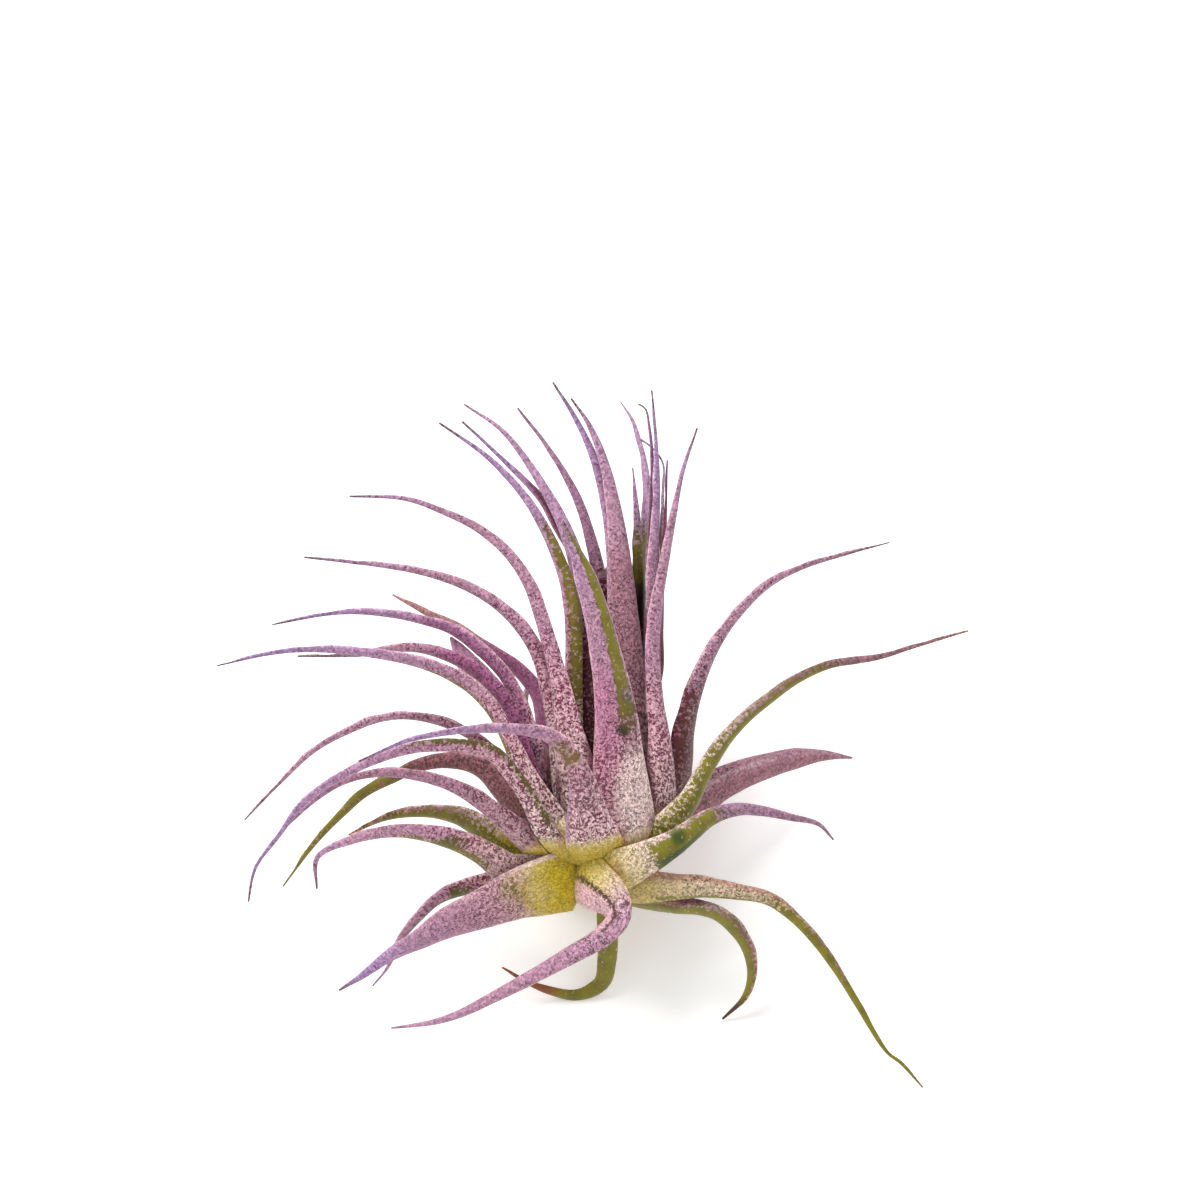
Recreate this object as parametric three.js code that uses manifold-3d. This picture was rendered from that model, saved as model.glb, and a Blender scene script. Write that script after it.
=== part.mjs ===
// A small air plant lying bare: one short stem and its leaves, each a solid of its own.
// Millimetres, +Z up. The plant lies on the plane z = 0 with its crown raised, on a flat
// spot under its bulb (the origin) and on the ends of its low leaves.
import * as THREE from "three";
import { mergeVertices } from "three/addons/utils/BufferGeometryUtils.js";
import Module from "manifold-3d";

// How the plant lies
const CROWN_RISE = 32;
const FOOT_HEIGHT = 8;
const REST_ALONG = 3.5;

// The stem, a short tapering caudex
const STEM_LEAN = 0.1;
const STEM_BOTTOM = -0.6;
const STEM_TOP = 11;
const STEM_FOOT_RADIUS = 3;
const STEM_TOP_RADIUS = 0.9;
const STEM_BUTT = 0.8;
const STEM_SIDES = 12;

// What all leaves share
const FIRST_ROOT = 0.2;
const ROOT_STEP = 0.23;
const ROOT_WIDTH = 2.2;
const ROOT_GAP = 0.35;
const SHOULDER_LENGTH = 3.5;
const SHEATH_LENGTH = 9;
const SHEATH_DROOP = 0.45;
const SHEATH_POINT = 2;
const BASE_THICK = 1.0;
const BLADE_THICK = 0.7;
const TIP_WIDTH = 0.62;
const BULB_RADIUS = 10;
const BLADE_CHANNEL = 0.22;
const SECTION_SIDES = 6;
const QUAD_CORNERS = 6;
const STATION_LENGTH = 3.4;
const FEWEST_STATIONS = 9;
const MOST_STATIONS = 16;
const CLEARANCE = 0.3;
const WELD = 0.004;

// The block of ground that trims what would reach below the plane
const GROUND_SPAN = 400;
const GROUND_DEPTH = 100;

// Colours of the leaves, by where they stand
const LILAC = 0xb48abf;
const PINK = 0xc79bb5;
const OLIVE = 0x7d8242;
const MAROON = 0x7b4a63;
const STRAW = 0xb9a45c;

// The leaves, outermost first. The plant's own directions are across (right), along (from
// the foot to the crown) and near (away from what it lies on). turn is where round the stem a
// leaf is rooted, in degrees: 0 near, 90 right. wide is its width over the bulb, blade its
// width where the free blade starts, neck how far along the leaf that is, roll how far its face
// is turned at its root and at its tip, and way the points that its middle line passes.
const LEAVES = [
  { name: "leaf_front_left_recurved", turn: -3, wide: 7.4, blade: 2, neck: 0.5, colour: LILAC, way: [
    [1.8, 2.4, 8.6], [1.7, 4.2, 10.6], [1.3, 6.6, 11.7], [0.8, 8.8, 12.5], [-0.6, 11.8, 13.5],
    [-2.1, 14.1, 14.5], [-4.5, 16, 15.8], [-6.9, 16.6, 17], [-12, 16.8, 19], [-16.3, 16.3, 20.2],
    [-20.5, 15.3, 20.8], [-25.2, 13.2, 21]] },
  { name: "leaf_low_left_hollow", turn: -45, wide: 7.5, blade: 2.8, neck: 0.55, roll: [15, 0], colour: LILAC, way: [
    [-2.6, -0.7, 6.5], [-5, -1.3, 7.8], [-7.7, -1.9, 8.2], [-12.4, -3.3, 7.6], [-15.8, -4.7, 6.3],
    [-18.9, -6.7, 4.8], [-22, -8.3, 3], [-25.1, -10.6, 1], [-27.7, -12.3, -0.9]] },
  { name: "leaf_low_twisted", turn: 5, wide: 7, blade: 2.2, neck: 0.45, roll: [0, -60], colour: PINK, way: [
    [1.3, -0.6, 6.5], [2.1, -1.7, 9], [2.8, -3.2, 10.4], [2, -4.8, 10.9], [-0.1, -6.4, 10.6],
    [-2.5, -8, 10], [-6.3, -10.5, 8.9], [-10, -12.5, 7.4], [-14.3, -14.7, 5.3], [-17.4, -15.7, 3.8],
    [-21.9, -16.4, 1.3]] },
  { name: "leaf_low_right", turn: 50, wide: 4.6, blade: 2, neck: 0.32, roll: [-25, -10], colour: OLIVE, way: [
    [2.6, -0.2, 5], [5.5, -0.8, 7], [9.4, -0.9, 7.6], [12.5, -0.8, 7.6], [16.2, -1.3, 7.4], [19.7, -2.3, 7.2],
    [22.4, -4.2, 7], [24.9, -6.9, 6.8], [27.1, -9.9, 6.6], [29.6, -13.9, 6.2], [32.6, -18.8, 5.8],
    [34.2, -20.1, 5.6], [36.6, -22.8, 5.2]] },
  { name: "leaf_low_right_curl", turn: 80, wide: 4, blade: 2, neck: 0.6, roll: [-30, -30], colour: OLIVE, way: [
    [3.3, -1.6, 4], [5.2, -2.3, 4.6], [9.4, -3.1, 5], [12, -3.2, 5], [14.3, -3.9, 4.8], [16.3, -5.9, 4.2],
    [17.3, -8.3, 3.4], [17.4, -10.9, 2.2], [16.7, -12.9, 1.4], [14.6, -15.4, 0.6]] },
  { name: "leaf_low_left_behind", turn: -90, wide: 4.4, blade: 2.2, neck: 0.5, roll: [45, 30], colour: PINK, way: [
    [-7, -0.3, 2.5], [-10.4, -0.3, 2.5], [-14.2, -1, 2.5], [-16.4, -2.2, 2.2], [-18.5, -4.3, 1.8],
    [-20.6, -6.8, 1], [-22.3, -9.6, 0], [-24, -11.8, -1.5]] },
  { name: "leaf_low_curl", turn: 10, wide: 2.6, blade: 1.6, neck: 0.6, colour: OLIVE, way: [
    [2.1, -1.5, 5], [2, -3.9, 4], [2, -6.5, 2.5], [1.9, -9, 1], [1.3, -11.5, -0.4],
    [-1.3, -12.8, -0.9], [-4.1, -12.4, -0.6], [-6.6, -11.5, 0], [-9.7, -9.7, 1]] },
  { name: "leaf_under_1", turn: 180, wide: 8, blade: 2.4, neck: 0.7, colour: PINK, way: [
    [0, 1.6, -10.7], [0.1, 4.2, -12.15], [0.5, 8, -13.1], [1.2, 14, -15.2], [2.2, 19.5, -19.6], [3.5, 23.5, -23.9]] },
  { name: "leaf_under_2", turn: -140, wide: 7, blade: 2.4, neck: 0.7, colour: PINK, way: [
    [-6.9, 4, -8.3], [-7.6, 9, -9.2], [-7.8, 12.5, -12], [-6.8, 15, -18.4]] },
  { name: "leaf_under_3", turn: 140, wide: 7, blade: 2.4, neck: 0.7, colour: PINK, way: [
    [6.9, 4, -8.3], [7.8, 8.5, -9.2], [8.2, 11.5, -12.5], [7.6, 13.5, -17.5]] },
  { name: "leaf_left_11", turn: -70, wide: 6, blade: 2.5, neck: 0.5, roll: [60, 25], colour: PINK, way: [
    [-5.5, 0.6, 5.8], [-9, 1, 7], [-11.2, 2.5, 7.4], [-14, 4, 7.6], [-16.8, 4.9, 7.6],
    [-20.5, 5.4, 7.1], [-23.2, 5.2, 6.4], [-26.1, 4.5, 5.5], [-30, 2.5, 4], [-30.1, -1, 2.5]] },
  { name: "leaf_right_4", turn: 35, wide: 5.4, blade: 2, neck: 0.5, roll: [-20, -10], colour: OLIVE, way: [
    [2, 1.1, 7.6], [4, 1.7, 9.4], [6.3, 2.7, 9.9], [9.5, 4.4, 9.6], [13.2, 7, 8.4], [16.2, 7.8, 7.2],
    [18.9, 7.6, 6], [22.1, 6.9, 4.8], [25.2, 6.1, 3.4], [26.8, 4.4, 2]] },
  { name: "leaf_left_10", turn: -85, wide: 5, blade: 2.5, neck: 0.5, roll: [60, 30], colour: OLIVE, way: [
    [-6.4, 2.2, 3.4], [-8.6, 3.2, 3.8], [-11.2, 5, 4.2], [-13.8, 6.6, 4.4], [-16.4, 7.2, 4.4],
    [-19, 7.2, 4.2], [-21.9, 6.9, 3.8], [-23.9, 5.9, 3.2], [-26.1, 4.9, 2.6]] },
  { name: "leaf_left_7", turn: -28, wide: 6.2, blade: 2, neck: 0.4, roll: [30, 0], colour: LILAC, way: [
    [-2.2, 1.9, 7.6], [-3.2, 3.6, 9.6], [-4.5, 6.3, 10.6], [-6.5, 9.7, 11.4], [-8.9, 12.8, 12.4],
    [-10.7, 14, 13.1], [-13.4, 14.7, 13.9], [-16.3, 14.9, 14.5], [-19.6, 14.6, 14.8], [-24.6, 12.9, 14.6],
    [-30.7, 9.3, 13.4], [-34.3, 4.8, 11.6], [-36.7, 1.4, 10], [-37.5, -2.3, 8.4]] },
  { name: "leaf_left_8", turn: -50, wide: 6.4, blade: 2.2, neck: 0.42, roll: [40, 5], colour: PINK, way: [
    [-4.2, 1.6, 6.8], [-5.8, 3.5, 8.6], [-7.9, 5.7, 9.3], [-10.1, 7.7, 9.7], [-13.1, 9.9, 10],
    [-16, 11.2, 10.2], [-19, 11.8, 10.3], [-22.1, 11.9, 10.2], [-25, 11.6, 10], [-27.7, 10.6, 9.6],
    [-30.4, 8.7, 9], [-33.9, 5.4, 7.8]] },
  { name: "leaf_left_9", turn: -62, wide: 5, blade: 2.2, neck: 0.38, roll: [40, 5], colour: OLIVE, way: [
    [-4.6, 2.8, 4.8], [-6.6, 6, 6.2], [-9.2, 10.1, 6.6], [-11.8, 12.6, 6.6], [-14.9, 13.2, 6.5],
    [-18.8, 12.6, 6.2], [-21.9, 11.2, 5.7], [-25, 9.5, 5], [-27.7, 7, 3.8], [-30.5, 3.9, 2],
    [-33.9, -0.8, -1.5]] },
  { name: "leaf_right_3", turn: 95, wide: 4.6, blade: 2.3, neck: 0.8, roll: [-60, -60], colour: PINK, way: [
    [8.6, 5.8, -1.5], [14.2, 10.1, -4], [17, 11.4, -5.5], [20.3, 12.9, -8.5], [23.1, 13.7, -11],
    [26.4, 13.9, -14], [29.2, 13.4, -17]] },
  { name: "leaf_right_2", turn: 55, wide: 5.4, blade: 2, neck: 0.38, roll: [-35, -10], colour: OLIVE, way: [
    [5.6, 3, 6.4], [8.6, 5.8, 7.2], [11, 8.8, 6.8], [12.4, 11.5, 6.1], [14.3, 14.7, 5.3],
    [16.6, 17.4, 4.4], [19.6, 19.9, 3.4], [22.9, 22.2, 2.4], [26.4, 23.7, 1.4], [31.7, 24.5, 0],
    [36.1, 25.8, -1], [41.8, 27.4, -2.2]] },
  { name: "leaf_left_4", turn: -42, wide: 6.2, blade: 2, neck: 0.5, roll: [20, 0], colour: LILAC, way: [
    [-3.2, 3, 6], [-4.9, 7, 7.6], [-7, 11.2, 7.8], [-8.8, 15.2, 7.6], [-10.6, 18.6, 7.5],
    [-12.7, 21, 7.5], [-16, 23, 7.7], [-19.6, 24.2, 8], [-23.2, 24.9, 8.2], [-28.3, 25.4, 8.4],
    [-33.8, 25.2, 8.4], [-41, 23.6, 8]] },
  { name: "leaf_front_middle", turn: 12, wide: 7.4, blade: 1.8, neck: 0.85, colour: PINK, way: [
    [4.2, 2.4, 6.6], [4, 5, 8.6], [3.7, 8.5, 9.3], [3.3, 12.7, 9.4], [3, 17.6, 9.2], [2.4, 22, 9.1],
    [1.7, 25.3, 9.2], [0.8, 29.2, 9.6], [-0.6, 33.6, 10.2], [-3, 39.5, 11.4]] },
  { name: "leaf_left_1", turn: -20, wide: 7, blade: 1.6, neck: 0.56, colour: PINK, way: [
    [-0.2, 5.5, 7.4], [-1.4, 10.5, 8.2], [-2.4, 16, 8.4], [-3.2, 20.9, 8.1], [-4.3, 25.3, 7.8],
    [-5.2, 29.2, 7.6], [-6.6, 32.9, 7.6], [-8.9, 36.3, 7.6], [-11.8, 38.7, 7.7], [-15.2, 40.4, 7.9],
    [-20.2, 41.9, 8.2], [-26.4, 42.2, 8.5]] },
  { name: "leaf_right_1", turn: 80, wide: 5.2, blade: 2, neck: 0.45, roll: [-40, -10], colour: MAROON, way: [
    [7.8, 4.5, 3], [9.6, 8.8, 3], [10.3, 12.7, 2.8], [10.6, 16.5, 2.4], [11.6, 20.9, 1.8],
    [13.8, 26.1, 1.2], [16.8, 30.2, 0.4], [19.9, 32.8, -0.4], [23.6, 34.6, -1.2], [28.1, 35.9, -2],
    [33.1, 37.2, -2.6]] },
  { name: "leaf_left_6", turn: -95, wide: 4.6, blade: 1.8, neck: 0.4, roll: [30, 10], colour: MAROON, way: [
    [-4.6, 6, 2.5], [-7.3, 10.1, 2.7], [-10.4, 13.9, 2.6], [-14.9, 16.7, 2], [-19.6, 18, 1],
    [-22.7, 17.8, 0], [-26.1, 16.5, -2], [-30.3, 14.1, -5.2], [-34.5, 10.5, -9.2], [-38.4, 6.4, -13]] },
  { name: "leaf_under_4", turn: -115, wide: 5.5, blade: 2.2, neck: 0.7, colour: PINK, way: [
    [-8.2, 5, -4.2], [-8.2, 10, -5.3], [-7.8, 15, -6.5], [-7.3, 19, -9], [-6.8, 22, -13]] },
  { name: "leaf_under_5", turn: 120, wide: 5, blade: 2.2, neck: 0.7, colour: PINK, way: [
    [8.4, 5, -5.4], [8.2, 10, -6.5], [7.6, 15, -7.5], [7.2, 20, -9.5], [7, 24, -13], [6.8, 27, -17.5]] },
  { name: "leaf_under_6", turn: 160, wide: 6, blade: 2, neck: 0.7, colour: PINK, way: [
    [3.2, 6, -9], [3.8, 14, -9], [4, 22, -8.5], [3.8, 30, -9], [3.4, 37, -11]] },
  { name: "leaf_under_7", turn: -165, wide: 6, blade: 2, neck: 0.7, colour: PINK, way: [
    [-2.6, 6, -9.2], [-2.4, 14, -9], [-1.2, 22, -8.4], [0.4, 30, -8.6], [2.6, 36, -10.5]] },
  { name: "leaf_front_right_upright", turn: 40, wide: 5.5, blade: 1.8, neck: 0.6, colour: PINK, way: [
    [7.2, 5, 6], [7.8, 9.9, 6.6], [7.8, 14.9, 6.6], [7.4, 19.8, 6.2], [7.4, 25.3, 5.8], [7.7, 30.8, 5.6],
    [8.5, 35.8, 5.4], [9.2, 40.5, 5.2], [10.1, 44.7, 5], [11.8, 49.7, 5]] },
  { name: "leaf_left_5", turn: -60, wide: 5, blade: 2.3, neck: 0.55, roll: [25, 0], colour: MAROON, way: [
    [-4, 4.6, 4.6], [-5.9, 9, 5.2], [-7.5, 14, 5.4], [-9, 19, 5.3], [-13, 23.3, 5], [-18, 25.4, 4.6],
    [-21, 25.6, 4.4], [-25.4, 24.9, 4], [-32.2, 24.6, 3.4]] },
  { name: "leaf_left_2", turn: -35, wide: 5.4, blade: 1.8, neck: 0.5, roll: [10, 0], colour: PINK, way: [
    [-1.3, 6.1, 5.2], [-2.5, 11.6, 5.8], [-3.6, 16.5, 5.9], [-4.6, 20.9, 5.8], [-6, 25.4, 5.8],
    [-8.6, 29, 5.9], [-11.9, 31.5, 6], [-16, 33.3, 6.2], [-21, 34.4, 6.5], [-31.4, 35.5, 7]] },
  { name: "leaf_left_3", turn: -58, wide: 5.4, blade: 2, neck: 0.55, roll: [25, 0], colour: LILAC, way: [
    [-3.7, 5, 2.6], [-5, 9.9, 3.1], [-6.4, 14.3, 3.2], [-7.6, 18.6, 3.1], [-9.1, 22.1, 3.1],
    [-11.9, 25.2, 3.3], [-15.2, 27.6, 3.5], [-18.2, 28.6, 3.7], [-22.4, 29.4, 4], [-27.6, 29.5, 4.2],
    [-35, 28.1, 4.2]] },
  { name: "leaf_centre_5", turn: 25, wide: 5, blade: 2.3, neck: 0.65, colour: PINK, way: [
    [5.5, 9.9, 5.6], [5.1, 15.4, 5.6], [4.7, 20.9, 5.4], [4.3, 26.4, 5], [3.8, 31.4, 4.6], [3.2, 36.9, 4.3],
    [2.5, 41.8, 4], [1.6, 45.7, 3.8], [0, 49.9, 3.6], [-2.1, 53, 3.4]] },
  { name: "leaf_left_3_short", turn: -75, wide: 4, blade: 1.8, neck: 0.6, colour: LILAC, way: [
    [-3.9, 6.1, 1.3], [-5.2, 11, 1.3], [-7.5, 16, 1.3], [-9.6, 19.8, 1.4], [-11.8, 23, 1.6], [-15.5, 27.1, 2]] },
  { name: "leaf_left_3_behind", turn: -95, wide: 4.5, blade: 1.8, neck: 0.5, colour: STRAW, way: [
    [-3.7, 6.6, -0.5], [-5, 12.1, -0.5], [-5.7, 17.1, -0.3], [-6.6, 20.6, 0], [-8.7, 24.4, 0.4],
    [-11.9, 27, 0.8], [-15.5, 29.1, 1], [-21.8, 31.6, 1.4]] },
  { name: "leaf_under_8", turn: -150, wide: 5, blade: 1.8, neck: 0.7, colour: PINK, way: [
    [-4, 8, -6], [-4.2, 15, -6], [-4, 21, -6], [-4.6, 27, -7.5], [-6.3, 32, -10.5]] },
  { name: "leaf_under_9", turn: 150, wide: 5, blade: 1.8, neck: 0.7, colour: PINK, way: [
    [4, 8, -6], [5, 15, -5.6], [5.6, 22, -5], [6.6, 29, -4.8], [7.2, 36, -5.5], [7.2, 43, -7]] },
  { name: "leaf_centre_1", turn: -15, wide: 2.4, blade: 1.7, neck: 0.5, colour: LILAC, way: [
    [-1.6, 11, 4], [-1.9, 16.5, 4], [-1.9, 20.9, 3.8], [-1.8, 25.9, 3.4], [-2.1, 30.3, 3.2],
    [-3.1, 34.4, 3.2], [-6.4, 41.1, 3.4], [-11, 46.3, 3.6], [-16.6, 50.3, 3.8]] },
  { name: "leaf_centre_9", turn: 60, wide: 3, blade: 1.7, neck: 0.6, colour: LILAC, way: [
    [6.8, 20.9, 3.2], [6.8, 26.4, 3.2], [6.8, 31.9, 3.2], [7, 36.3, 3.2], [7.2, 40.7, 3.2],
    [7.3, 44.6, 3.2], [7.2, 48.4, 3.2], [6.8, 53.9, 3.2]] },
  { name: "leaf_centre_2", turn: 0, wide: 3.6, blade: 1.6, neck: 0.55, colour: MAROON, way: [
    [0.2, 13.2, 2], [0, 18.2, 2], [0, 23.1, 2], [-0.1, 27.5, 1.8], [-1, 33.2, 1.6], [-2.4, 37.8, 1.4],
    [-4.3, 41.8, 1.3], [-9.4, 49.2, 1.3], [-13.9, 52.4, 1.3]] },
  { name: "leaf_centre_6", turn: 10, wide: 3.2, blade: 1.7, neck: 0.6, colour: LILAC, way: [
    [2.8, 15.4, 3], [2.6, 20.9, 3], [2.5, 26.4, 2.9], [2.3, 31.9, 2.8], [2, 37.4, 2.6], [1.4, 42.4, 2.5],
    [0.3, 46.8, 2.4], [-1.6, 50.8, 2.3], [-4.1, 54.8, 2.2]] },
  { name: "leaf_centre_12", turn: 75, wide: 2.4, blade: 1.2, neck: 0.6, colour: PINK, way: [
    [8.2, 19.8, 3], [8.5, 26.4, 3], [8.7, 31.9, 3], [8.7, 37.4, 3], [8.5, 46.2, 3]] },
  { name: "leaf_centre_10", turn: 50, wide: 2.2, blade: 1.1, neck: 0.6, colour: LILAC, way: [
    [6.7, 22, 2], [6.7, 27.5, 2], [6.7, 33, 2], [6.7, 38.5, 2], [6.8, 42.9, 2], [6.8, 46.8, 2],
    [6.5, 50.1, 2], [6.1, 51.9, 2], [5.3, 52.4, 2]] },
  { name: "leaf_centre_3", turn: -30, wide: 3, blade: 1.6, neck: 0.5, colour: LILAC, way: [
    [0, 17.6, 0.2], [-0.2, 23.1, 0.2], [-0.7, 28.6, 0.2], [-2, 34.7, 0.2], [-3.7, 39.1, 0.2],
    [-5.5, 42.1, 0.2], [-9.4, 46.1, 0.2], [-14.1, 50.5, 0.2]] },
  { name: "leaf_centre_7", turn: 60, wide: 2.4, blade: 1.3, neck: 0.5, colour: OLIVE, way: [
    [5.6, 19.8, 0.6], [5.6, 25.3, 0.6], [5.5, 30.8, 0.6], [5.4, 34.7, 0.6], [5.2, 38.5, 0.6], [4.7, 45.4, 0.6]] },
  { name: "leaf_centre_11", turn: 100, wide: 2.4, blade: 1.2, neck: 0.5, colour: LILAC, way: [
    [7.5, 22, 0.9], [7.6, 27.5, 0.9], [7.8, 34.1, 0.9], [7.9, 39.1, 0.9], [8, 43.3, 0.9], [8, 45.9, 0.9],
    [6.7, 47.7, 0.9], [5.5, 48.6, 0.9]] },
  { name: "leaf_centre_4", turn: 20, wide: 3, blade: 1.7, neck: 0.5, colour: MAROON, way: [
    [1.9, 15.4, -0.8], [2, 20.9, -0.8], [1.9, 26.4, -0.8], [1.4, 31.1, -0.8], [0.4, 36.3, -0.8],
    [-1.5, 42.2, -0.8], [-4.5, 47.4, -0.7], [-8, 52, -0.6]] },
  { name: "leaf_centre_8", turn: 120, wide: 2.2, blade: 1.3, neck: 0.5, colour: OLIVE, way: [
    [6.1, 20.9, -0.8], [6.1, 26.4, -0.8], [6.1, 31.4, -0.8], [6.2, 35.8, -0.8], [6.3, 40.2, -0.8],
    [6.1, 44.6, -0.8], [5.5, 47.9, -0.8], [4.7, 50.6, -0.8], [3.3, 52.7, -0.8]] },
];

const wasm = await Module();
wasm.setup();

// Laying the plant down: its crown rises by CROWN_RISE and its rest spot comes to the origin.
const RISE = THREE.MathUtils.degToRad(CROWN_RISE);
const REST_BACK = (REST_ALONG + FOOT_HEIGHT * Math.sin(RISE)) / Math.cos(RISE);
const lie = new THREE.Matrix4()
  .makeTranslation(0, -REST_BACK, FOOT_HEIGHT)
  .multiply(new THREE.Matrix4().makeRotationX(RISE));

function solidOf(geometry) {
  const bare = geometry.clone();
  bare.deleteAttribute("normal");
  bare.deleteAttribute("uv");
  const welded = mergeVertices(bare, WELD);
  return new wasm.Manifold(new wasm.Mesh({
    numProp: 3,
    vertProperties: new Float32Array(welded.attributes.position.array),
    triVerts: new Uint32Array(welded.index.array),
  }));
}

function geometryOf(solid) {
  const mesh = solid.getMesh();
  const geometry = new THREE.BufferGeometry();
  geometry.setAttribute("position", new THREE.BufferAttribute(new Float32Array(mesh.vertProperties), 3));
  geometry.setIndex(new THREE.BufferAttribute(new Uint32Array(mesh.triVerts), 1));
  return geometry;
}

function largest(solid) {
  const bodies = solid.decompose();
  bodies.sort((a, b) => b.volume() - a.volume());
  return bodies[0];
}

// The stem's surface at a height along its axis
function stemRadius(along) {
  const part = (along - STEM_BOTTOM) / (STEM_TOP - STEM_BOTTOM);
  return THREE.MathUtils.lerp(STEM_FOOT_RADIUS, STEM_TOP_RADIUS, part);
}

function stemPoint(along, turn, outside) {
  const angle = THREE.MathUtils.degToRad(turn);
  const reach = stemRadius(along) + outside;
  return new THREE.Vector3(
    STEM_LEAN * along + reach * Math.sin(angle), along, reach * Math.cos(angle));
}

// The stem turned from its profile, as tall as it is or, for its room, fatter by grow
function stemSolid(grow) {
  const profile = [
    new THREE.Vector2(0, STEM_BOTTOM - grow),
    new THREE.Vector2(STEM_FOOT_RADIUS * STEM_BUTT + grow, STEM_BOTTOM - grow),
    new THREE.Vector2(stemRadius(0) + grow, 0),
    new THREE.Vector2(stemRadius(STEM_TOP) + grow, STEM_TOP),
    new THREE.Vector2(0, STEM_TOP + STEM_TOP_RADIUS + grow),
  ];
  const lathe = new THREE.LatheGeometry(profile, STEM_SIDES);
  const shear = new THREE.Matrix4().set(1, STEM_LEAN, 0, 0, 0, 1, 0, 0, 0, 0, 1, 0, 0, 0, 0, 1);
  return solidOf(lathe.applyMatrix4(shear).applyMatrix4(lie));
}

// Width over a leaf's length: narrow at its root, full over the sheath, tapering to the tip
function widthAt(leaf, part, length) {
  const run = part * length;
  const neck = leaf.neck * length;
  if (run < SHOULDER_LENGTH) {
    return THREE.MathUtils.lerp(ROOT_WIDTH, leaf.wide, Math.sin((run / SHOULDER_LENGTH) * Math.PI / 2));
  }
  if (run < neck) {
    return THREE.MathUtils.lerp(leaf.wide, leaf.blade, THREE.MathUtils.smoothstep(run, SHEATH_LENGTH, neck));
  }
  return THREE.MathUtils.lerp(leaf.blade, TIP_WIDTH, (part - leaf.neck) / (1 - leaf.neck));
}

function thicknessAt(leaf, part) {
  const fade = Math.min(1, part / leaf.neck);
  return THREE.MathUtils.lerp(BASE_THICK, BLADE_THICK, fade);
}

// How far a leaf's margins stand in from its middle: a bow as round as the bulb over the
// sheath, and a shallow channel from the neck on
function channelAt(leaf, part, width) {
  const round = (width * width) / (8 * BULB_RADIUS);
  const fade = Math.min(1, part / leaf.neck);
  return THREE.MathUtils.lerp(round, BLADE_CHANNEL * width, fade);
}

// Carries a leaf's outer direction along to the next station without twisting it
function carry(outer, tangent) {
  return outer.clone().addScaledVector(tangent, -outer.dot(tangent)).normalize();
}

// The leaf's middle line, and at each station its side and its outer face's direction. Where
// it lies on the bulb a leaf faces out and a little down, and the rest follows from there.
function spineOf(leaf, order) {
  const root = stemPoint(FIRST_ROOT + ROOT_STEP * order, leaf.turn, ROOT_GAP);
  const points = [root, ...leaf.way.map((p) => new THREE.Vector3(...p))];
  const curve = new THREE.CatmullRomCurve3(points, false, "centripetal");
  const length = curve.getLength();
  const wanted = Math.round(length / STATION_LENGTH);
  const count = THREE.MathUtils.clamp(wanted, FEWEST_STATIONS, MOST_STATIONS);
  const angle = THREE.MathUtils.degToRad(leaf.turn);
  const stations = [];
  for (let i = 0; i <= count; i += 1) {
    const part = i / count;
    stations.push({
      part,
      width: widthAt(leaf, part, length),
      middle: curve.getPointAt(part),
      tangent: curve.getTangentAt(part).normalize(),
    });
  }
  const reaches = stations.map((station) => station.middle.distanceTo(points[SHEATH_POINT]));
  const sheath = reaches.indexOf(Math.min(...reaches));
  const facing = new THREE.Vector3(Math.sin(angle), -SHEATH_DROOP, Math.cos(angle));
  stations[sheath].outer = carry(facing, stations[sheath].tangent);
  for (let i = sheath + 1; i <= count; i += 1) {
    stations[i].outer = carry(stations[i - 1].outer, stations[i].tangent);
  }
  for (let i = sheath - 1; i >= 0; i -= 1) {
    stations[i].outer = carry(stations[i + 1].outer, stations[i].tangent);
  }
  for (const station of stations) {
    const roll = THREE.MathUtils.lerp(leaf.roll?.[0] ?? 0, leaf.roll?.[1] ?? 0, station.part);
    station.outer.applyAxisAngle(station.tangent, THREE.MathUtils.degToRad(roll));
    station.side = new THREE.Vector3().crossVectors(station.tangent, station.outer).normalize();
  }
  return stations;
}

// The quads of the inner face, the two columns opposite the outer face's, are split into
// triangles along the same diagonals as the outer ones: a thin waved blade stays evenly thick.
function splitAlike(index, rings) {
  const first = (SECTION_SIDES / 3) * rings;
  const end = 2 * first;
  for (let quad = first; quad < end; quad += 1) {
    const start = quad * QUAD_CORNERS;
    index.setX(start + 2, index.getX(start + 4));
    index.setX(start + 3, index.getX(start));
  }
}

// A leaf from a cylinder whose every ring is drawn out to the channelled section there.
// grow makes it fatter all round, for the room it needs in its neighbours.
function leafSolid(leaf, order, grow) {
  const stations = spineOf(leaf, order);
  const rings = stations.length - 1;
  const cylinder = new THREE.CylinderGeometry(1, 1, 1, SECTION_SIDES, rings);
  splitAlike(cylinder.index, rings);
  const position = cylinder.attributes.position;
  for (let i = 0; i < position.count; i += 1) {
    const station = stations[Math.round((position.getY(i) + 0.5) * rings)];
    const across = position.getX(i);
    const out = position.getZ(i);
    const half = station.width / 2 + grow;
    const thick = thicknessAt(leaf, station.part) / 2 + grow;
    const channel = channelAt(leaf, station.part, station.width);
    const point = station.middle.clone()
      .addScaledVector(station.side, half * across)
      .addScaledVector(station.outer, thick * out - channel * across * across);
    position.setXYZ(i, point.x, point.y, point.z);
  }
  return solidOf(cylinder.applyMatrix4(lie));
}

// Everything below the plane that the plant lies on
const ground = new THREE.BoxGeometry(GROUND_SPAN, GROUND_SPAN, GROUND_DEPTH);
ground.translate(0, 0, -GROUND_DEPTH / 2);
const below = solidOf(ground);

const plant = new THREE.Group();

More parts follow.
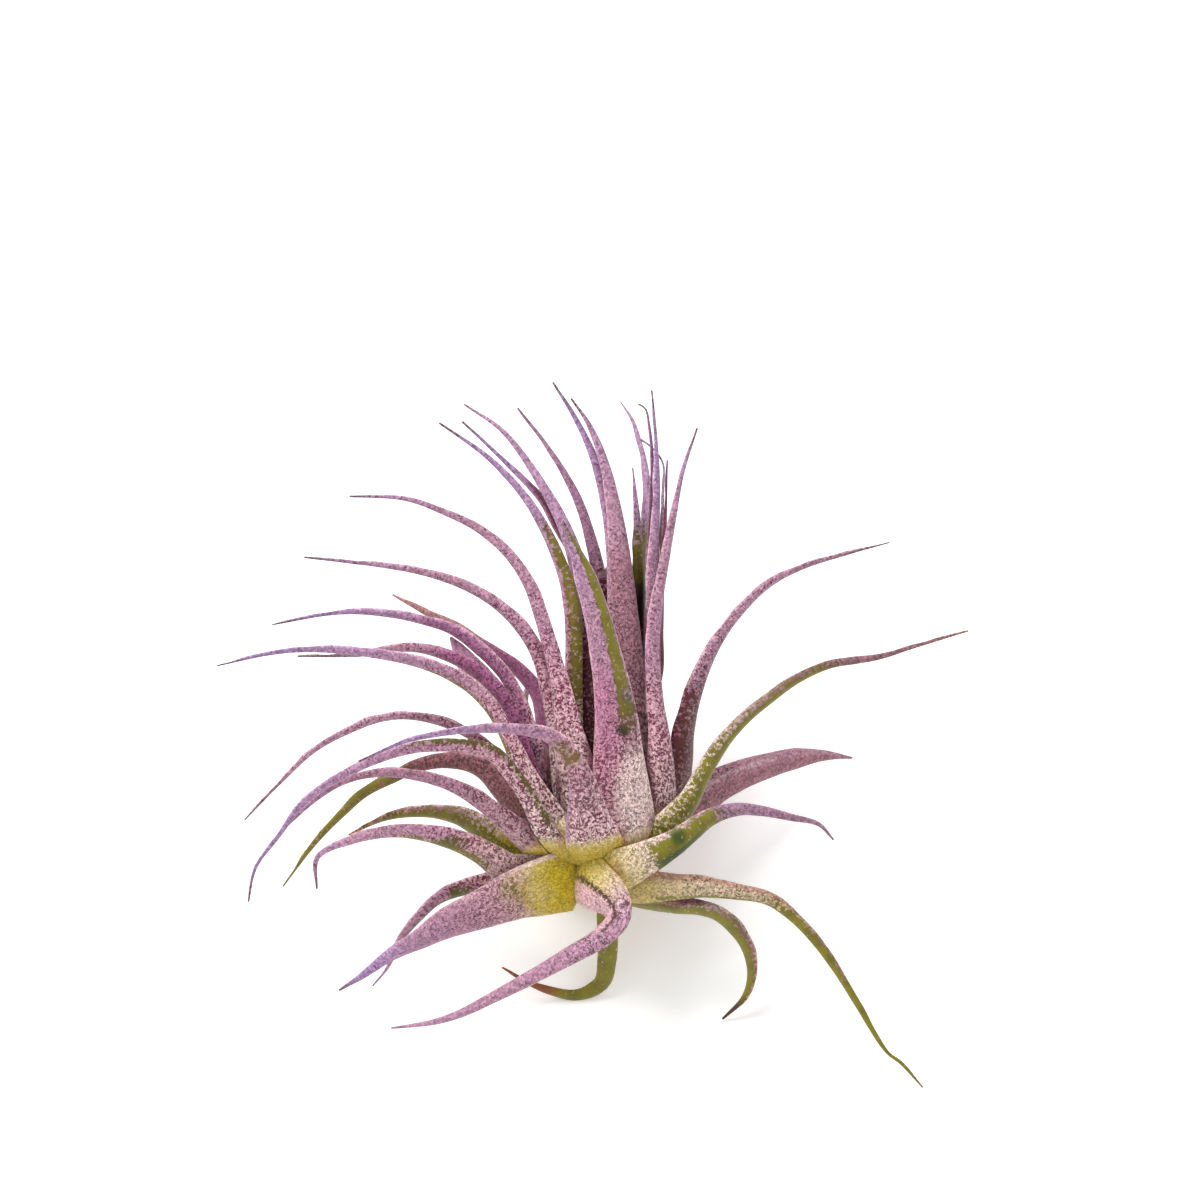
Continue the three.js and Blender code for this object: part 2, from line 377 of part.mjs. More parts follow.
function addPiece(name, solid, colour) {
  const material = new THREE.MeshStandardMaterial({ color: colour, roughness: 0.8, metalness: 0 });
  const mesh = new THREE.Mesh(geometryOf(solid), material);
  mesh.name = name;
  plant.add(mesh);
}

addPiece("stem", stemSolid(0), STRAW);

// Leaves press against each other in the bulb: each is made with its true form, less the room
// that the stem and the leaves outside it take up, with a small gap.
const taken = [stemSolid(CLEARANCE)];
LEAVES.forEach((leaf, order) => {
  let solid = leafSolid(leaf, order, 0).subtract(below);
  for (const room of taken) {
    if (solid.intersect(room).volume() > 0) {
      solid = solid.subtract(room);
    }
  }
  taken.push(leafSolid(leaf, order, CLEARANCE));
  addPiece(leaf.name, largest(solid.simplify(WELD)), leaf.colour);
});

export default plant;
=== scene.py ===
"""A small air plant lying bare: one short woody stem, and the channelled leaves that clasp it.

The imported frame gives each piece's place. Lengths in the tables are millimetres in the plant's
own directions: across (to the right), along (from the foot to the crown) and near (away from
what it lies on). Everything is laid down and turned to metres when a piece is made.
"""

import math

import bpy
import numpy as np
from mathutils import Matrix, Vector
from mathutils.bvhtree import BVHTree


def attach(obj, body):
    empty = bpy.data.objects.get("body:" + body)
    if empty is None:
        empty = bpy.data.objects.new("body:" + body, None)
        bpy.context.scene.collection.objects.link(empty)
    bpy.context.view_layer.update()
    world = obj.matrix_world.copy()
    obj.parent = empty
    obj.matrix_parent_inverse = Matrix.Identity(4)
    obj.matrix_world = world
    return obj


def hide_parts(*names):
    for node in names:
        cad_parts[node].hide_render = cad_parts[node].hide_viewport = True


bl_info = {
    "name": "Air Plant",
    "version": (1, 0, 0),
    "blender": (4, 5, 0),
    "location": "3D View > Sidebar > Air Plant",
    "description": "Dresses the frame of a small air plant with its leaves and stem",
    "category": "Object",
}

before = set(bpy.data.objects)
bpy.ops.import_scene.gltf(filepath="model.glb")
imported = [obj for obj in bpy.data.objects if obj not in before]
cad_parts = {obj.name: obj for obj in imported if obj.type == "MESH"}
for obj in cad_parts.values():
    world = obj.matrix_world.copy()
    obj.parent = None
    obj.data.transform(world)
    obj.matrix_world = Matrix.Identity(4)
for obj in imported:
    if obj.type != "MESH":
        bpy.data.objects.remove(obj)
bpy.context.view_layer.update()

MM = 0.001
BODY = "root"

# The light on the sheet is stronger than full white, and the colours are dimmed to match
DIM = 0.85

# Colours, red, green and blue out of 255
YELLOW = (196, 170, 10)
LIME = (176, 160, 70)
CREAM = (228, 204, 142)
BLUSH = (248, 218, 212)
PETAL = (230, 182, 192)
ROSE = (206, 156, 180)
LILAC = (200, 156, 192)
LAVENDER = (184, 150, 200)
MAUVE = (158, 110, 126)
MAGENTA = (128, 14, 72)
PLUM = (112, 36, 76)
MAROON = (100, 26, 42)
OLIVE = (134, 126, 14)
MOSS = (62, 82, 0)
FERN = (98, 100, 4)
STRAW = (206, 164, 124)
RUST = (150, 84, 46)
BARK = (92, 58, 38)
ASH = (140, 118, 126)
# Near-black, also painted as deep shade in the gaps between the crown's leaves
NEAR_BLACK = (34, 22, 24)
WINE = (196, 114, 148)
DUSK = (182, 130, 146)
CLAY = (156, 100, 108)
HEATHER = (176, 132, 160)
SAND = (204, 180, 132)
BRICK = (176, 114, 108)
ORCHID = (196, 146, 172)
PURPLE = (186, 100, 158)
SHELL = (224, 164, 198)
GRAPE = (160, 66, 128)
VIOLET = (186, 112, 162)
PEACH = (206, 150, 152)
CHESTNUT = (150, 84, 96)
DUST = (208, 168, 162)
THISTLE = (176, 128, 160)
COCOA = (172, 116, 130)


def leaf(name, finish, turn, wide, blade, neck, way, roll=(0, 0), sheath=None, foot=2.2):
    """One leaf's row: turn and roll in degrees, neck as a share of its length, the rest in mm."""
    return {
        "name": name, "finish": finish, "turn": turn, "wide": wide, "blade": blade,
        "neck": neck, "way": way, "roll": roll, "sheath": sheath, "foot": foot,
    }


# The leaves, outermost first: turn is where round the stem a leaf is rooted (0 near, 90 right),
# wide its width over the bulb, blade its width where the free blade starts, neck how far along
# that is, roll how far its face is turned at root and tip, sheath how far up it stays broad,
# foot its width where it joins the stem, way what its middle line passes.
LEAVES = [
    leaf("leaf_low_left_hollow", "lilac", -45, 7.1, 3, 0.55, roll=(15, 0), foot=3, way=[
        (-1.6, 0.1, 6.2), (-5, -0.9, 7.8), (-7.5, -1.6, 8.2), (-9.9, -2.6, 8), (-12.4, -3.6, 7.6),
        (-15.8, -4.9, 6.3), (-18.9, -6.7, 4.8), (-22, -8.3, 3), (-25.1, -10.6, 1),
        (-27.7, -12.3, -0.9)]),
    leaf("leaf_low_twisted", "pink", -25, 6.4, 2.2, 0.45, roll=(-10, -60), sheath=7.5, foot=5, way=[
        (-1.2, 0.6, 6.6), (0.6, -0.7, 8.8), (2.4, -2.2, 10.2), (2.9, -4, 10.9),
        (1.1, -6.1, 10.7), (-2.5, -8.3, 10), (-6.3, -10.5, 8.9), (-10, -12.5, 7.4),
        (-14.3, -14.7, 5.3), (-17.4, -15.7, 3.8), (-21.9, -16.4, 1.3)]),
    leaf("leaf_low_right", "olive", 50, 4.6, 2, 0.32, roll=(-25, -10), sheath=9, way=[
        (2.6, -0.2, 5), (5.5, -0.8, 7), (9.4, -0.9, 7.6), (12.5, -0.8, 7.6), (16.2, -1.3, 7.4),
        (19.8, -2.1, 7.2), (22.5, -4.1, 7), (25, -6.8, 6.8), (27.2, -9.9, 6.6),
        (29.6, -13.9, 6.2), (32.6, -18.8, 5.8), (34.2, -20.1, 5.6), (36.6, -22.8, 5.2)]),
    leaf("leaf_low_right_curl", "olive", 80, 4, 2.3, 0.6, roll=(-30, -30), way=[
        (3.3, -1.6, 4), (5.2, -2.3, 4.6), (9.4, -3.1, 5), (12, -3.2, 5), (14.3, -3.9, 4.8),
        (16.5, -6, 4.2), (17.6, -8.3, 3.4), (17.8, -11, 2.2), (17, -13.1, 1.4),
        (14.6, -15.4, 0.6)]),
    leaf("leaf_low_left_behind", "pink", -90, 3.4, 1.8, 0.5, roll=(45, 30), sheath=9, way=[
        (-7, -0.3, 2.5), (-10.4, -0.3, 2.5), (-14.4, -1.1, 2.5), (-16.8, -2.1, 2.2),
        (-19, -4.2, 1.8), (-21, -6.6, 1), (-22.3, -9.6, 0), (-24, -11.8, -1.5)]),
    leaf("leaf_low_curl", "olive", 10, 2.6, 1.6, 0.6, way=[
        (2.1, -1.5, 5), (2, -3.9, 4), (2, -6.5, 2.5), (1.9, -9, 1), (1.3, -11.5, -0.4),
        (-1.3, -12.8, -0.9), (-4.1, -12.4, -0.6), (-6.6, -11.5, 0), (-9.7, -9.7, 1)]),
    leaf("leaf_under_1", "pink", 180, 8, 2.4, 0.7, way=[
        (0, 1.6, -10.7), (0.1, 4.2, -12.15), (0.5, 8, -13.1), (1.2, 14, -15.2),
        (2.2, 19.5, -19.6), (3.5, 23.5, -23.9)]),
    leaf("leaf_under_2", "pink", -140, 7, 2.4, 0.7, way=[
        (-6.9, 4, -8.3), (-7.6, 9, -9.2), (-7.8, 12.5, -12), (-6.8, 15, -18.4)]),
    leaf("leaf_under_3", "pink", 140, 7, 2.4, 0.7, way=[
        (6.9, 4, -8.3), (7.8, 8.5, -9.2), (8.2, 11.5, -12.5), (7.6, 13.5, -17.5)]),
    leaf("leaf_left_11", "pink", -70, 5.4, 2.4, 0.5, roll=(60, 25), sheath=9, way=[
        (-5.5, 0.6, 5.8), (-9, 1, 7), (-11.2, 2.5, 7.4), (-14, 4, 7.6), (-16.8, 4.9, 7.6),
        (-20.5, 5.4, 7.1), (-23.2, 5.2, 6.4), (-26.1, 4.5, 5.5), (-30, 2.5, 4), (-30.1, -1, 2.5)]),
    leaf("leaf_right_4", "olive", 20, 5.4, 2, 0.5, roll=(-20, -10), sheath=10, way=[
        (2, 0.9, 7.6), (4, 1.4, 9.4), (6.3, 2.4, 9.9), (9.5, 4.2, 9.6), (13.2, 6.9, 8.4),
        (16.2, 7.8, 7.2), (18.9, 7.6, 6), (22.1, 6.9, 4.8), (25.2, 6.1, 3.4), (26.8, 4.4, 2)]),
    leaf("leaf_front_left_recurved", "lilac", -4, 8.4, 1.8, 0.5, sheath=10, way=[
        (0.8, 1.9, 8.4), (0.4, 3.8, 10.6), (-0.2, 6.4, 11.7), (-0.5, 8.8, 12.5),
        (-1.1, 11.5, 13.4), (-2.3, 14, 14.5), (-4.5, 16, 15.8), (-6.9, 16.6, 17),
        (-12, 16.8, 19), (-16.3, 16.3, 20.2), (-20.5, 15.3, 20.8), (-25.2, 13.2, 21)]),
    leaf("leaf_left_10", "olive", -85, 5, 2.8, 0.5, roll=(60, 30), sheath=8, way=[
        (-6.4, 2.2, 3.4), (-8.6, 3.2, 3.8), (-11.2, 5, 4.2), (-13.8, 6.7, 4.4),
        (-16.4, 7.4, 4.4), (-19, 7.5, 4.2), (-22, 7.1, 3.8), (-24.2, 6.2, 3.2),
        (-26.6, 4.9, 2.6)]),
    leaf("leaf_left_7", "lilac", -28, 5.2, 2, 0.4, roll=(30, 0), sheath=6, way=[
        (-3, 1.9, 7.6), (-4.2, 3.8, 9.4), (-5.5, 6.5, 10.4), (-7.2, 9.7, 11.3),
        (-9.2, 12.5, 12.4), (-10.7, 14, 13.1), (-13.4, 14.7, 13.9), (-16.3, 14.9, 14.5),
        (-19.6, 14.6, 14.8), (-24.6, 12.9, 14.6), (-30.7, 9.3, 13.4), (-34.3, 4.8, 11.6),
        (-36.7, 1.4, 10), (-37.5, -2.3, 8.4)]),
    leaf("leaf_left_8", "pink", -50, 6.4, 2.2, 0.42, roll=(40, 5), sheath=7.5, way=[
        (-4.2, 1.6, 6.8), (-5.8, 3.5, 8.6), (-7.9, 5.3, 9.3), (-10.1, 7.2, 9.7),
        (-13.1, 9.4, 10), (-16, 10.8, 10.2), (-19, 11.6, 10.3), (-22.1, 11.9, 10.2),
        (-25, 11.6, 10), (-27.7, 10.6, 9.6), (-30.4, 8.7, 9), (-33.9, 5.4, 7.8)]),
    leaf("leaf_left_9", "olive", -62, 6, 2.5, 0.38, roll=(40, 5), sheath=9, way=[
        (-4.6, 2.8, 4.8), (-6.6, 6, 6.2), (-9.6, 9.8, 6.6), (-12.2, 12.4, 6.6),
        (-15.3, 13.1, 6.5), (-18.8, 12.6, 6.2), (-21.9, 11.2, 5.7), (-25, 9.5, 5),
        (-27.7, 7, 3.8), (-30.5, 3.9, 2), (-33.9, -0.8, -1.5)]),
    leaf("leaf_right_3", "pink", 95, 5, 1.9, 0.75, roll=(-60, -60), way=[
        (8.6, 5.8, -1.5), (14.2, 10.1, -4), (17, 11.4, -5.5), (20.2, 12.5, -8.5),
        (23.1, 13.2, -11), (26.3, 13.5, -14), (29.2, 13.2, -17)]),
    leaf("leaf_right_2", "olive", 55, 5.4, 2, 0.38, roll=(-35, -10), sheath=9, way=[
        (5.6, 3, 6.4), (8.6, 5.8, 7.2), (11, 8.8, 6.8), (12.4, 11.5, 6.1), (14.3, 14.7, 5.3),
        (16.6, 17.4, 4.4), (19.6, 19.9, 3.4), (22.9, 22.2, 2.4), (26.4, 23.7, 1.4),
        (31.7, 24.5, 0), (36.1, 25.8, -1), (41.8, 27.4, -2.2)]),
    leaf("leaf_left_4", "lilac", -42, 6.2, 2, 0.5, roll=(20, 0), sheath=9, way=[
        (-3.2, 3, 6), (-4.9, 7, 7.6), (-7, 11.2, 7.8), (-8.8, 15.2, 7.6), (-10.6, 18.6, 7.5),
        (-12.7, 21, 7.5), (-16, 23, 7.7), (-19.6, 24.2, 8), (-23.2, 24.9, 8.2),
        (-28.3, 25.4, 8.4), (-33.8, 25.2, 8.4), (-41, 23.6, 8)]),
    leaf("leaf_front_middle", "pink", 12, 7.4, 1.8, 0.85, way=[
        (4.2, 2.4, 6.6), (4, 5, 8.6), (3.7, 8.5, 9.3), (3.3, 12.7, 9.4), (3, 17.6, 9.2),
        (2.4, 22, 9.1), (1.7, 25.3, 9.2), (0.8, 29.2, 9.6), (-0.6, 33.6, 10.2), (-3, 39.5, 11.4)]),
    leaf("leaf_left_1", "pink", -20, 7, 1.6, 0.56, sheath=13, way=[
        (-0.2, 5.5, 7.4), (-1.4, 10.5, 8.2), (-2.4, 16, 8.4), (-3.2, 20.9, 8.1),
        (-4.3, 25.3, 7.8), (-5.4, 29.1, 7.6), (-6.8, 32.8, 7.6), (-9.1, 36.1, 7.6),
        (-12, 38.5, 7.7), (-15.3, 40.2, 7.9), (-20.2, 41.9, 8.2), (-26.4, 42.2, 8.5)]),
    leaf("leaf_right_1", "maroon", 80, 5.4, 2.3, 0.45, roll=(-40, -10), way=[
        (7.8, 4.5, 3), (9.6, 8.8, 3), (10.3, 12.7, 2.8), (10.6, 16.5, 2.4), (11.6, 20.9, 1.8),
        (13.9, 26.1, 1.2), (16.9, 30.1, 0.4), (19.9, 32.8, -0.4), (23.6, 34.6, -1.2),
        (28.1, 35.9, -2), (33.1, 37.2, -2.6)]),
    leaf("leaf_left_6", "maroon", -95, 4.6, 1.8, 0.4, roll=(30, 10), sheath=9, way=[
        (-4.6, 6, 2.5), (-7.3, 10.1, 2.7), (-10.4, 13.9, 2.6), (-14.9, 16.9, 2), (-19.6, 18.1, 1),
        (-22.8, 17.9, 0), (-26.2, 16.7, -2), (-30.5, 14.3, -5.2), (-34.5, 10.5, -9.2),
        (-38.4, 6.4, -13)]),
    leaf("leaf_under_4", "pink", -115, 5.5, 2.2, 0.7, way=[
        (-8.2, 5, -4.2), (-8.2, 10, -5.3), (-7.8, 15, -6.5), (-7.3, 19, -9), (-6.8, 22, -13)]),
    leaf("leaf_under_5", "pink", 120, 5, 2.2, 0.7, way=[
        (8.4, 5, -5.4), (8.2, 10, -6.5), (7.6, 15, -7.5), (7.2, 20, -9.5), (7, 24, -13),
        (6.8, 27, -17.5)]),
    leaf("leaf_under_6", "pink", 160, 6, 2, 0.7, way=[
        (3.2, 6, -9), (3.8, 14, -9), (4, 22, -8.5), (3.8, 30, -9), (3.4, 37, -11)]),
    leaf("leaf_under_7", "pink", -165, 6, 2, 0.7, way=[
        (-2.6, 6, -9.2), (-2.4, 14, -9), (-1.2, 22, -8.4), (0.4, 30, -8.6), (2.6, 36, -10.5)]),
    leaf("leaf_front_right_upright", "pink", 40, 6.8, 1.8, 0.6, sheath=13, way=[
        (7.2, 5, 6), (7.8, 9.9, 6.6), (7.9, 14.9, 6.6), (7.3, 19.8, 6.2), (6.9, 25.3, 5.8),
        (7.4, 30.8, 5.6), (8.3, 35.8, 5.4), (9.2, 40.5, 5.2), (10.1, 44.7, 5), (11.8, 49.7, 5)]),
    leaf("leaf_left_5", "maroon", -60, 5, 2.3, 0.55, roll=(25, 0), sheath=9, way=[
        (-4, 4.6, 4.6), (-5.9, 9, 5.2), (-7.5, 14, 5.4), (-9, 19, 5.3), (-13, 23.3, 5),
        (-18, 25.4, 4.6), (-21, 25.6, 4.4), (-25.4, 24.9, 4), (-32.2, 24.6, 3.4)]),
    leaf("leaf_left_2", "pink", -35, 5.4, 1.8, 0.5, roll=(10, 0), sheath=11, way=[
        (-1.3, 6.1, 5.2), (-2.5, 11.6, 5.8), (-3.6, 16.5, 5.9), (-4.6, 20.9, 5.8),
        (-6, 25.4, 5.8), (-8.6, 29, 5.9), (-11.9, 31.5, 6), (-16, 33.3, 6.2), (-21, 34.4, 6.5),
        (-31.4, 35.5, 7)]),
    leaf("leaf_left_3", "lilac", -58, 5.4, 2, 0.55, roll=(25, 0), sheath=10, way=[
        (-3.7, 5, 2.6), (-5, 9.9, 3.1), (-6.4, 14.3, 3.2), (-7.6, 18.6, 3.1), (-9.1, 22.1, 3.1),
        (-11.9, 25.2, 3.3), (-15.2, 27.6, 3.5), (-18.2, 28.6, 3.7), (-22.4, 29.4, 4),
        (-27.6, 29.5, 4.2), (-35, 28.1, 4.2)]),
    leaf("leaf_centre_5", "pink", 25, 5, 2.3, 0.65, way=[
        (5.5, 9.9, 5.6), (5.1, 15.4, 5.6), (4.7, 20.9, 5.4), (4.3, 26.4, 5), (3.8, 31.4, 4.6),
        (3.2, 36.9, 4.3), (2.5, 41.8, 4), (1.6, 45.7, 3.8), (0, 49.9, 3.6), (-2.1, 53, 3.4)]),
    leaf("leaf_left_3_short", "lilac", -75, 5, 3.6, 0.88, roll=(50, 40), way=[
        (-3.9, 6.1, 1.3), (-5.4, 10.9, 1.3), (-8.1, 15.7, 1.8), (-10.4, 19.5, 2),
        (-12.7, 22.8, 2.1), (-15.4, 26.7, 2.3)]),
    leaf("leaf_left_3_behind", "straw", -95, 3.4, 1.5, 0.8, roll=(70, 60), sheath=13, way=[
        (-3.7, 6.6, -0.5), (-4.4, 12.1, -0.5), (-5, 17.1, -0.3), (-5.8, 20.4, 0),
        (-8.2, 23.3, 0.4), (-11.9, 25.8, 0.8), (-15.5, 28.1, 1), (-21.8, 31.4, 1.4)]),
    leaf("leaf_under_8", "pink", -150, 5, 1.8, 0.7, way=[
        (-4, 8, -6), (-4.2, 15, -6), (-4, 21, -6), (-4.6, 27, -7.5), (-6.3, 32, -10.5)]),
    leaf("leaf_under_9", "pink", 150, 5, 1.8, 0.7, way=[
        (4, 8, -6), (5, 15, -5.6), (5.6, 22, -5), (6.6, 29, -4.8), (7.2, 36, -5.5),
        (7.2, 43, -7)]),
    leaf("leaf_centre_1", "lilac", -15, 2.4, 1.7, 0.5, way=[
        (-1.6, 11, 4), (-1.9, 16.5, 4), (-1.9, 20.9, 3.8), (-1.8, 25.9, 3.4), (-2.1, 30.3, 3.2),
        (-3.1, 34.4, 3.2), (-6.4, 41.1, 3.4), (-11, 46.3, 3.6), (-16.6, 50.3, 3.8)]),
    leaf("leaf_centre_9", "lilac", 60, 3, 1.7, 0.6, way=[
        (6.8, 20.9, 3.2), (6.8, 26.4, 3.2), (6.8, 31.9, 3.2), (7, 36.3, 3.2), (7.2, 40.7, 3.2),
        (7.3, 44.6, 3.2), (7.2, 48.4, 3.2), (6.8, 53.9, 3.2)]),
    leaf("leaf_centre_2", "maroon", 0, 3.6, 1.6, 0.55, way=[
        (0.2, 13.2, 2), (0, 18.2, 2), (0, 23.1, 2), (-0.1, 27.5, 1.8), (-1, 33.2, 1.6),
        (-2.4, 37.8, 1.4), (-4.3, 41.8, 1.3), (-9.4, 49.2, 1.3), (-13.9, 52.4, 1.3)]),
    leaf("leaf_centre_6", "lilac", 10, 3.2, 1.7, 0.6, way=[
        (3.5, 15.4, 3), (3.4, 20.9, 3), (3.2, 26.4, 2.9), (3, 31.9, 2.8), (2.6, 37.4, 2.6),
        (1.6, 42.4, 2.5), (0.3, 46.8, 2.4), (-1.6, 50.8, 2.3), (-4.1, 54.8, 2.2)]),
    leaf("leaf_centre_12", "pink", 75, 2.4, 1.2, 0.6, way=[
        (7.1, 19.8, 3), (7.3, 26.4, 3), (7.6, 31.9, 3), (8.1, 37.4, 3), (8.5, 46.2, 3)]),
    leaf("leaf_centre_10", "lilac", 50, 2.2, 1.1, 0.6, way=[
        (6.7, 22, 2), (6.7, 27.5, 2), (6.7, 33, 2), (6.7, 38.5, 2), (6.8, 42.9, 2),
        (6.8, 46.8, 2), (6.5, 50.1, 2), (6.1, 51.9, 2), (5.3, 52.4, 2)]),
    leaf("leaf_centre_3", "lilac", -30, 3, 1.6, 0.5, way=[
        (0, 17.6, 0.2), (-0.2, 23.1, 0.2), (0, 28.6, 0.2), (-1.2, 34.7, 0.2), (-3.7, 39.1, 0.2),
        (-5.5, 42.1, 0.2), (-9.4, 46.1, 0.2), (-14.1, 50.5, 0.2)]),
    leaf("leaf_centre_7", "olive", 60, 2.8, 2, 0.7, way=[
        (5.6, 19.8, 0.6), (5.6, 25.3, 0.6), (5.5, 30.8, 0.6), (5.4, 34.7, 0.6), (5.2, 38.5, 0.6),
        (4.7, 45.4, 0.6)]),
    leaf("leaf_centre_11", "lilac", 100, 2.4, 1.2, 0.5, way=[
        (7.5, 22, 0.9), (7.6, 27.5, 0.9), (7.8, 34.1, 0.9), (7.9, 39.1, 0.9), (8, 43.3, 0.9),
        (8, 45.9, 0.9), (6.7, 47.7, 0.9), (5.5, 48.6, 0.9)]),
    leaf("leaf_centre_4", "maroon", 20, 3, 1.7, 0.5, way=[
        (1.9, 15.4, -0.8), (2, 20.9, -0.8), (1.9, 26.4, -0.8), (1.4, 31.1, -0.8),
        (0.4, 36.3, -0.8), (-1.5, 42.2, -0.8), (-4.5, 47.4, -0.7), (-8, 52, -0.6)]),
    leaf("leaf_centre_8", "olive", 120, 2.4, 1.6, 0.7, way=[
        (6.1, 20.9, -0.8), (6.1, 26.4, -0.8), (6.1, 31.4, -0.8), (6.2, 35.8, -0.8),
        (6.3, 40.2, -0.8), (6.1, 44.6, -0.8), (5.5, 47.9, -0.8), (4.7, 50.6, -0.8),
        (3.3, 52.7, -0.8)]),
]
ORDER = {row["name"]: order for order, row in enumerate(LEAVES)}


class PlantSizes(bpy.types.PropertyGroup):
    """How the plant lies and how its stem and leaves are shaped"""
    crown_rise: bpy.props.FloatProperty(
        name="Crown rise", description="How far the crown is raised from lying flat",
        default=math.radians(32), subtype="ANGLE", unit="ROTATION")
    foot_height: bpy.props.FloatProperty(
        name="Foot height", description="Height of the stem's foot over the ground",
        default=8 * MM, unit="LENGTH")
    rest_along: bpy.props.FloatProperty(
        name="Rest spot", description="How far up the bulb the spot is that the plant rests on",
        default=3.5 * MM, unit="LENGTH")
    stem_foot_radius: bpy.props.FloatProperty(
        name="Stem foot radius", description="Radius of the stem at its foot",
        default=3 * MM, unit="LENGTH")
    stem_top_radius: bpy.props.FloatProperty(
        name="Stem top radius", description="Radius of the stem at its growing point",
        default=0.9 * MM, unit="LENGTH")
    stem_height: bpy.props.FloatProperty(
        name="Stem height", description="Height of the stem from its foot to its growing point",
        default=11 * MM, unit="LENGTH")
    stem_lean: bpy.props.FloatProperty(
        name="Stem lean", description="How far the stem leans to the right, per its height",
        default=0.1)
    root_step: bpy.props.FloatProperty(
        name="Root step", description="Height on the stem from one leaf to the next",
        default=0.23 * MM, unit="LENGTH")
    base_thick: bpy.props.FloatProperty(
        name="Sheath thickness", description="Thickness of a leaf at the middle of its sheath",
        default=0.95 * MM, unit="LENGTH")
    blade_thick: bpy.props.FloatProperty(
        name="Blade thickness", description="Thickness of a leaf along its blade",
        default=0.62 * MM, unit="LENGTH")
    tip_thick: bpy.props.FloatProperty(
        name="Tip thickness", description="Thickness and width of a leaf at its tip",
        default=0.2 * MM, unit="LENGTH")
    bulb_radius: bpy.props.FloatProperty(
        name="Bulb radius", description="Radius that the sheaths are bowed to",
        default=10 * MM, unit="LENGTH")
    bulb_depth: bpy.props.FloatProperty(
        name="Bulb depth", description="How much deeper than wide the bulb is", default=1.2)
    channel: bpy.props.FloatProperty(
        name="Blade channel", description="How far a blade's section is bent into a channel",
        default=math.radians(120), subtype="ANGLE", unit="ROTATION")
    crease: bpy.props.FloatProperty(
        name="Crease", description="Gap between leaves that press on each other",
        default=0.2 * MM, unit="LENGTH")
    ripple: bpy.props.FloatProperty(
        name="Ripple", description="How far a leaf's margins waver",
        default=0.12 * MM, unit="LENGTH")


class StageSettings(bpy.types.PropertyGroup):
    """The floor, the light and the camera"""
    floor_size: bpy.props.FloatProperty(
        name="Floor size", description="Side of the white sheet that the plant lies on",
        default=3.0, unit="LENGTH")
    floor_colour: bpy.props.FloatVectorProperty(
        name="Floor colour", description="Colour of the sheet", size=3, subtype="COLOR",
        default=(0.97, 0.97, 0.97))
    floor_glow: bpy.props.FloatProperty(
        name="Floor glow", description="How much light shines up through the sheet", default=0.22)
    sky_light: bpy.props.FloatProperty(
        name="Sky light", description="Strength of the even light from all round", default=0.78)
    key_light: bpy.props.FloatProperty(
        name="Key light", description="Power of the soft light from above left",
        default=5.6, unit="POWER")
    camera_distance: bpy.props.FloatProperty(
        name="Camera distance", description="How far the camera stands from the plant",
        default=1.6, unit="LENGTH")
    view_width: bpy.props.FloatProperty(
        name="View width", description="Width of what the camera sees at the plant",
        default=0.132, unit="LENGTH")
    view_middle: bpy.props.FloatVectorProperty(
        name="View middle", description="What the camera looks at, across, along and near",
        size=3, subtype="XYZ", unit="LENGTH", default=(0.0011, 0.0308, 0.005))


def linear(colour):
    """A colour out of 255 as light, the way shaders take it."""
    share = np.asarray(colour, float) / 255
    return DIM * np.where(share <= 0.04045, share / 12.92, ((share + 0.055) / 1.055) ** 2.4)


def lerp(a, b, part):
    return a + (b - a) * part


def smoothstep(value, low, high):
    part = np.clip((value - low) / (high - low), 0, 1)
    return part * part * (3 - 2 * part)


def lay_down(points):
    """Points in the plant's own directions, in mm, to the row frame in metres."""
    sizes = bpy.context.scene.plant_sizes
    rise = sizes.crown_rise
    foot = sizes.foot_height / MM
    back = (sizes.rest_along / MM + foot * math.sin(rise)) / math.cos(rise)
    across, along, near = np.asarray(points, float).T
    y = along * math.cos(rise) - near * math.sin(rise) - back
    z = along * math.sin(rise) + near * math.cos(rise) + foot
    return np.stack([across, y, z], axis=1) * MM


def stand_up(points):
    """The way back: points in the row frame, in metres, to the plant's directions in mm."""
    sizes = bpy.context.scene.plant_sizes
    rise = sizes.crown_rise
    foot = sizes.foot_height / MM
    back = (sizes.rest_along / MM + foot * math.sin(rise)) / math.cos(rise)
    x, y, z = (np.asarray(points, float) / MM).T
    y = y + back
    z = z - foot
    along = y * math.cos(rise) + z * math.sin(rise)
    near = z * math.cos(rise) - y * math.sin(rise)
    return np.stack([x, along, near], axis=1)


def points_of(obj):
    flat = np.zeros(len(obj.data.vertices) * 3)
    obj.data.vertices.foreach_get("co", flat)
    return flat.reshape(-1, 3)


def place_points(obj, points):
    obj.data.vertices.foreach_set("co", np.asarray(points, np.float32).ravel())
    obj.data.update()


def deselect_all():
    bpy.ops.object.select_all(action="DESELECT")


def select_only(obj):
    deselect_all()
    obj.select_set(True)
    bpy.context.view_layer.objects.active = obj


# The stem, in mm: how far its trimmed butt lies under its foot and its crown over its height,
# how far down the crown is rounded and how blunt it stays, how the butt is rounded, and the
# depth, pitch and waver of the scars of old leaves round it
STEM_BUTT = -0.6
STEM_CROWN = 0.9
CROWN_ROUND = 1.2
CROWN_BLUNT = 0.12
BUTT_ROUND = 0.5
BUTT_SHARE = 0.8
SCAR_DEPTH = 0.06
SCAR_PITCH = 9
SCAR_WAVES = 3


def stem_point(along, turn, outside):
    """A point at a height along the stem, outside its surface by so much, in mm."""
    sizes = bpy.context.scene.plant_sizes
    part = (along - STEM_BUTT) / (sizes.stem_height / MM - STEM_BUTT)
    reach = lerp(sizes.stem_foot_radius, sizes.stem_top_radius, part) / MM + outside
    return np.array([
        sizes.stem_lean * along + reach * math.sin(turn), along, reach * math.cos(turn)])
